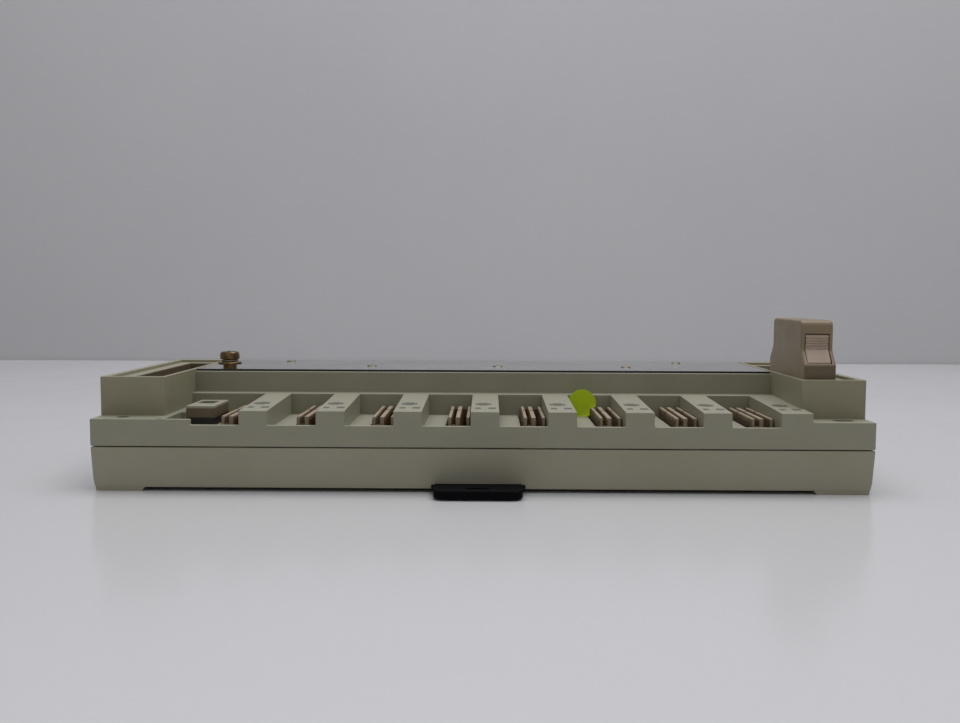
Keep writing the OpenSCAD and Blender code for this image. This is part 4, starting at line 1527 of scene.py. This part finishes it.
    def contents(self) -> list[Piece]:
        """What the hood holds: the insert with its blades, the board with its resistor packs, and the screws.

        Returns:
            The pieces.
        """
        x, y = self.x, self.y
        insert = round_box((x - 4.7, y - 21.7, 28), (x + 4.7, y + 21.7, 45), 0.4)
        rim = round_box((x - 5.75, y - 22.3, 44.2), (x + 5.75, y + 22.3, 47.1), 0.3)
        slot = round_box((x - 2, y - 21, 20), (x + 2, y + 21, 42), 0.3, 1)
        blades = Shape()
        for k in range(CONTACTS):
            for m in (-1, 1):
                a, b = sorted((x + m * 1.65, x + m * 2.0))
                blades.merge(round_box((a, y - 19.4 + 2 * k, 29), (b, y - 18.6 + 2 * k, 41), 0.1, 1))
        packs = Shape()
        for z in (56.5, 61):
            for py in (30.5, 48.6):
                for a, b in ((x - 3, x - 0.5), (x + 0.5, x + 3)):
                    packs.merge(round_box((a, py, z - 1.6), (b, py + 10.4, z + 1.6), 0.4))
        board = round_box((x - 0.5, 29.4, 47.1), (x + 0.5, 60.1, 72), 0.1, 1)
        screws, recess = Shape(), []
        for z in self.screw_z:
            screws.merge(prism(self.disc(1.25, 20, y, z), Axis.X, x - 5, x + 5.7, 0.2, 1))
            screws.merge(prism(self.disc(2.2, 28, y, z), Axis.X, x + 5.6, x + 7, 0.4))
            for dy, dz in CROSS:
                recess.append(round_box((x + 6.4, y - dy, z - dz), (x + 9, y + dy, z + dz), 0.05, 1))
        slots = {"joins": (rim,), "cutters": (slot,)}
        return [
            self.part("plug_insert_block", insert, PBT_BROWN, "connector_brown", "plug_insert", **slots),
            self.part("plug_blades", blades, GOLD, "contact_gold", "plug_contacts"),
            self.part("plug_circuit", board, FR4, "board_green", "plug_board"),
            self.part("plug_resistor_packs", packs, EPOXY, "part_black", "plug_resistors"),
            self.part("plug_screw_pair", screws, ZINC, "screw_steel", "plug_screws", cutters=tuple(recess)),
        ]

    def levers(self) -> list[Piece]:
        """The two squeeze levers with their pins and leaf springs.

        Returns:
            The pieces.
        """
        x, y = self.x, self.y
        pins, made, leaves = Shape(), [], []
        leaf = Outline([(26.65, 60.5), (26.95, 60.5), (26.95, 66), (24.7, 70.6), (24.4, 70.4), (26.65, 65.9)])
        ends = (("front", Body.FRONT_LEVER, self.pin_y), ("rear", Body.REAR_LEVER, 2 * y - self.pin_y))
        for end, lever, at in ends:
            pins.merge(prism(self.disc(0.9, 18, at, self.pin_z), Axis.X, x - 6.6, x + 6.6, 0.15, 1))
            hole = prism(self.disc(0.95, 18, at, self.pin_z), Axis.X, x - 9, x + 9, 0.02, 1)
            lines = [self.lever_outline(False), self.lever_outline(True), leaf]
            arm, head, spring = lines if end == "front" else (line.mirrored(y) for line in lines)
            shape, top = prism(arm, Axis.X, x - 4, x + 4, 0.25), prism(head, Axis.X, x - 5.45, x + 5.45, 0.25)
            name, cut = f"{end}_squeeze_lever", {"sharp_deg": 35, "cutters": (hole,), "joins": (top,)}
            made.append(Piece(name, shape, POM_LEVER, "lever_plastic", (f"lever_{end}",), body=lever, **cut))
            leaves.append(self.leaf_spring(end, spring, lever))
        return [self.part("lever_pin_pair", pins, ZINC, "screw_steel", "lever_pins"), *made, *leaves]

    def disc(self, r: float, n: int, y: float, z: float) -> Outline:
        """A round outline in Y and Z.

        Args:
            r: radius.
            n: number of points.
            y: middle along Y.
            z: middle along Z.

        Returns:
            The outline.
        """
        return Outline(circle(r, n) + [y, z])

    def part(self, name: str, shape: Shape, finish: Finish, slot: str, node: str = "", **more) -> Piece:
        """A piece that moves with the plug.

        Args:
            name: name of the piece.
            shape: its solids.
            finish: its surface.
            slot: its material slot.
            node: the CAD node that it stands for, if any.
            **more: further fields of the piece.

        Returns:
            The piece.
        """
        return Piece(name, shape, finish, slot, (node,) if node else (), body=Body.PLUG, **more)


@dataclass
class Inside(Assembly):
    """The backplane board and what stands on it under the plate."""

    def pieces(self) -> list[Piece]:
        """Lists the board, its parts, the strap and the shell's screws.

        Returns:
            The pieces.
        """
        board = round_box((-171.5, 3.5, 16), (171.5, 126, 17.6), 0.15, 1)
        spots = [(x, SHELF_HOLE_Y) for x in (-SHELF_HOLE_X, SHELF_HOLE_X)]
        holes = tuple(lathe([(5.4, 5), (5.4, 30)], spot, 32) for spot in spots)
        can = [(3.7, 17.6), (4, 17.9), (4, 18.4), (3.75, 18.7), (4, 19.0), (4, 28.7), (3.7, 29.0)]
        can += [(0.01, 29.0)]
        cans, chips = Shape(), Shape()
        for i in range(SLOTS):
            c = slot_left(i) + 11
            cans.merge(lathe(can, (c - 6, 82), 36))
            if i < SLOTS - 1:
                chips.merge(round_box((c + 4, 92, 18.2), (c + 11, 112, 21.4), 0.3))
                chips.merge(round_box((c + 17, 90, 17.8), (c + 19.4, 113, 23), 0.5))
        strap = round_box((-138, 84, 46.2), (-134.4, 90, 47.2), 0.2)
        strap.merge(round_box((-138, 84, 17.6), (-137.2, 90, 46.6), 0.2))
        head = [(0.01, 2.2), (2.5, 2.2), (2.8, 2.6), (2.8, 4.4), (1.5, 4.5), (1.5, 20), (0.01, 20)]
        screws, cuts = Shape(), []
        for x, y in SHELL_SCREWS:
            screws.merge(lathe(head, (x, y), 28))
            for dx, dy in ((1.8, 0.35), (0.35, 1.8)):
                cuts.append(round_box((x - dx, y - dy, 0), (x + dx, y + dy, 3.3), 0.05, 1))
        return [
            Piece("board_sheet", board, FR4, "board_green", ("backplane_board",), cutters=holes),
            Piece("board_cans", cans, ZINC, "part_black", ("board_parts",)),
            Piece("board_chips", chips, EPOXY, "part_black"),
            Piece("earth_strap", strap, NICKEL, "plate_metal", ("ground_strap",)),
            Piece("shell_screws", screws, ZINC, "screw_steel", ("housing_screws",), cutters=tuple(cuts)),
        ]


# ---------------------------------------------------------------- stage, light and camera


@dataclass(frozen=True)
class Studio:
    """A pale glossy table, a plain backdrop, soft light from above and a weak one from the front.

    All sizes are in metres.

    Attributes:
        table_front: near edge of the table.
        table_back: far edge of the table, where the backdrop stands.
        half_width: half the width of both.
        camera_x: X of the camera.
        camera_back: distance of the camera before the housing's front face.
        camera_height: height of the camera above the table.
        lens_mm: focal length on a sensor 36 mm wide.
        pitch_down: degrees that the camera looks down.
        yaw: degrees that it turns to the left.
        roll: degrees that it leans.
    """

    table_front: float = -1.6
    table_back: float = 0.772
    half_width: float = 2.4
    camera_x: float = 0.00248
    camera_back: float = 0.44326
    camera_height: float = 0.09116
    lens_mm: float = 37.125
    pitch_down: float = 4.067
    yaw: float = 0.445
    roll: float = 0.25

    def plane(self, name: str, corners: Sequence[Sequence[float]], finish: Finish) -> None:
        """Adds a flat stage piece.

        Args:
            name: name of the object.
            corners: its four corners in metres.
            finish: its surface.
        """
        me = bpy.data.meshes.new(name)
        me.from_pydata([tuple(c) for c in corners], [], [(0, 1, 2, 3)])
        obj = bpy.data.objects.new(name, me)
        bpy.context.scene.collection.objects.link(obj)
        me.materials.append(finish.build())

    def light(
        self,
        name: str,
        size: tuple[float, float],
        power: float,
        at: Sequence[float],
        to: Sequence[float],
        tint: str,
    ) -> None:
        """Adds one area light.

        Args:
            name: name of the light.
            size: width and height in metres.
            power: watts.
            at: where it hangs.
            to: point it faces.
            tint: sRGB hex.
        """
        data = bpy.data.lights.new(name, "AREA")
        data.shape, data.size, data.size_y = "RECTANGLE", size[0], size[1]
        data.energy = power
        data.color = linear(tint)[:3]
        obj = bpy.data.objects.new(name, data)
        obj.location = Vector(at)
        obj.rotation_euler = (Vector(to) - Vector(at)).to_track_quat("-Z", "Y").to_euler()
        bpy.context.scene.collection.objects.link(obj)

    def build(self) -> None:
        """Sets the stage, the lights, the world and the camera."""
        w, f, b = self.half_width, self.table_front, self.table_back
        self.plane("table_top", [(-w, f, 0), (w, f, 0), (w, b, 0), (-w, b, 0)], TABLE)
        b += 0.002
        self.plane("backdrop", [(-w, b, -0.4), (w, b, -0.4), (w, b, 2.2), (-w, b, 2.2)], WALL)
        self.light("overhead", (1.8, 1.1), 17.8, (0.1, 0.25, 1.35), (0.0, 0.05, 0.0), "#fcfcff")
        self.light("front_fill", (2.4, 1.6), 3.4, (-0.4, -2.2, 1.1), (0.0, 0.1, 0.1), "#f3f2ee")
        world = bpy.data.worlds.new("room_light")
        world.use_nodes = True
        world.node_tree.nodes["Background"].inputs[0].default_value = linear("#e6e6e8")
        world.node_tree.nodes["Background"].inputs[1].default_value = 0.32
        scene = bpy.context.scene
        scene.world = world
        scene.view_settings.view_transform = "Standard"
        scene.view_settings.look = "None"
        data = bpy.data.cameras.new("camera")
        data.sensor_width = 36.0
        data.lens = self.lens_mm
        data.dof.use_dof = False
        cam = bpy.data.objects.new("camera", data)
        cam.location = (self.camera_x, FRONT_Y / 1000.0 - self.camera_back, self.camera_height)
        down = Matrix.Rotation(math.radians(90 - self.pitch_down), 4, "X")
        yaw = Matrix.Rotation(math.radians(self.yaw), 4, "Z")
        roll = Matrix.Rotation(math.radians(self.roll), 4, "Z")
        cam.rotation_euler = (yaw @ down @ roll).to_euler()
        scene.collection.objects.link(cam)
        scene.camera = cam


def main() -> None:
    assemblies: list[Assembly] = [LowerShell(), UpperShell(), RibMarks(), GroundPlate(), GroundScrew()]
    assemblies += [SlotConnector(index=i) for i in range(SLOTS)]
    assemblies += [WellConnector("in", -END_X), WellConnector("out", END_X), RackSwitch(), Sticker()]
    assemblies += [RailLatch(), TerminatingPlug(), Inside()]
    for a in assemblies:
        a.build()
    Studio().build()


if __name__ == "__main__":
    main()
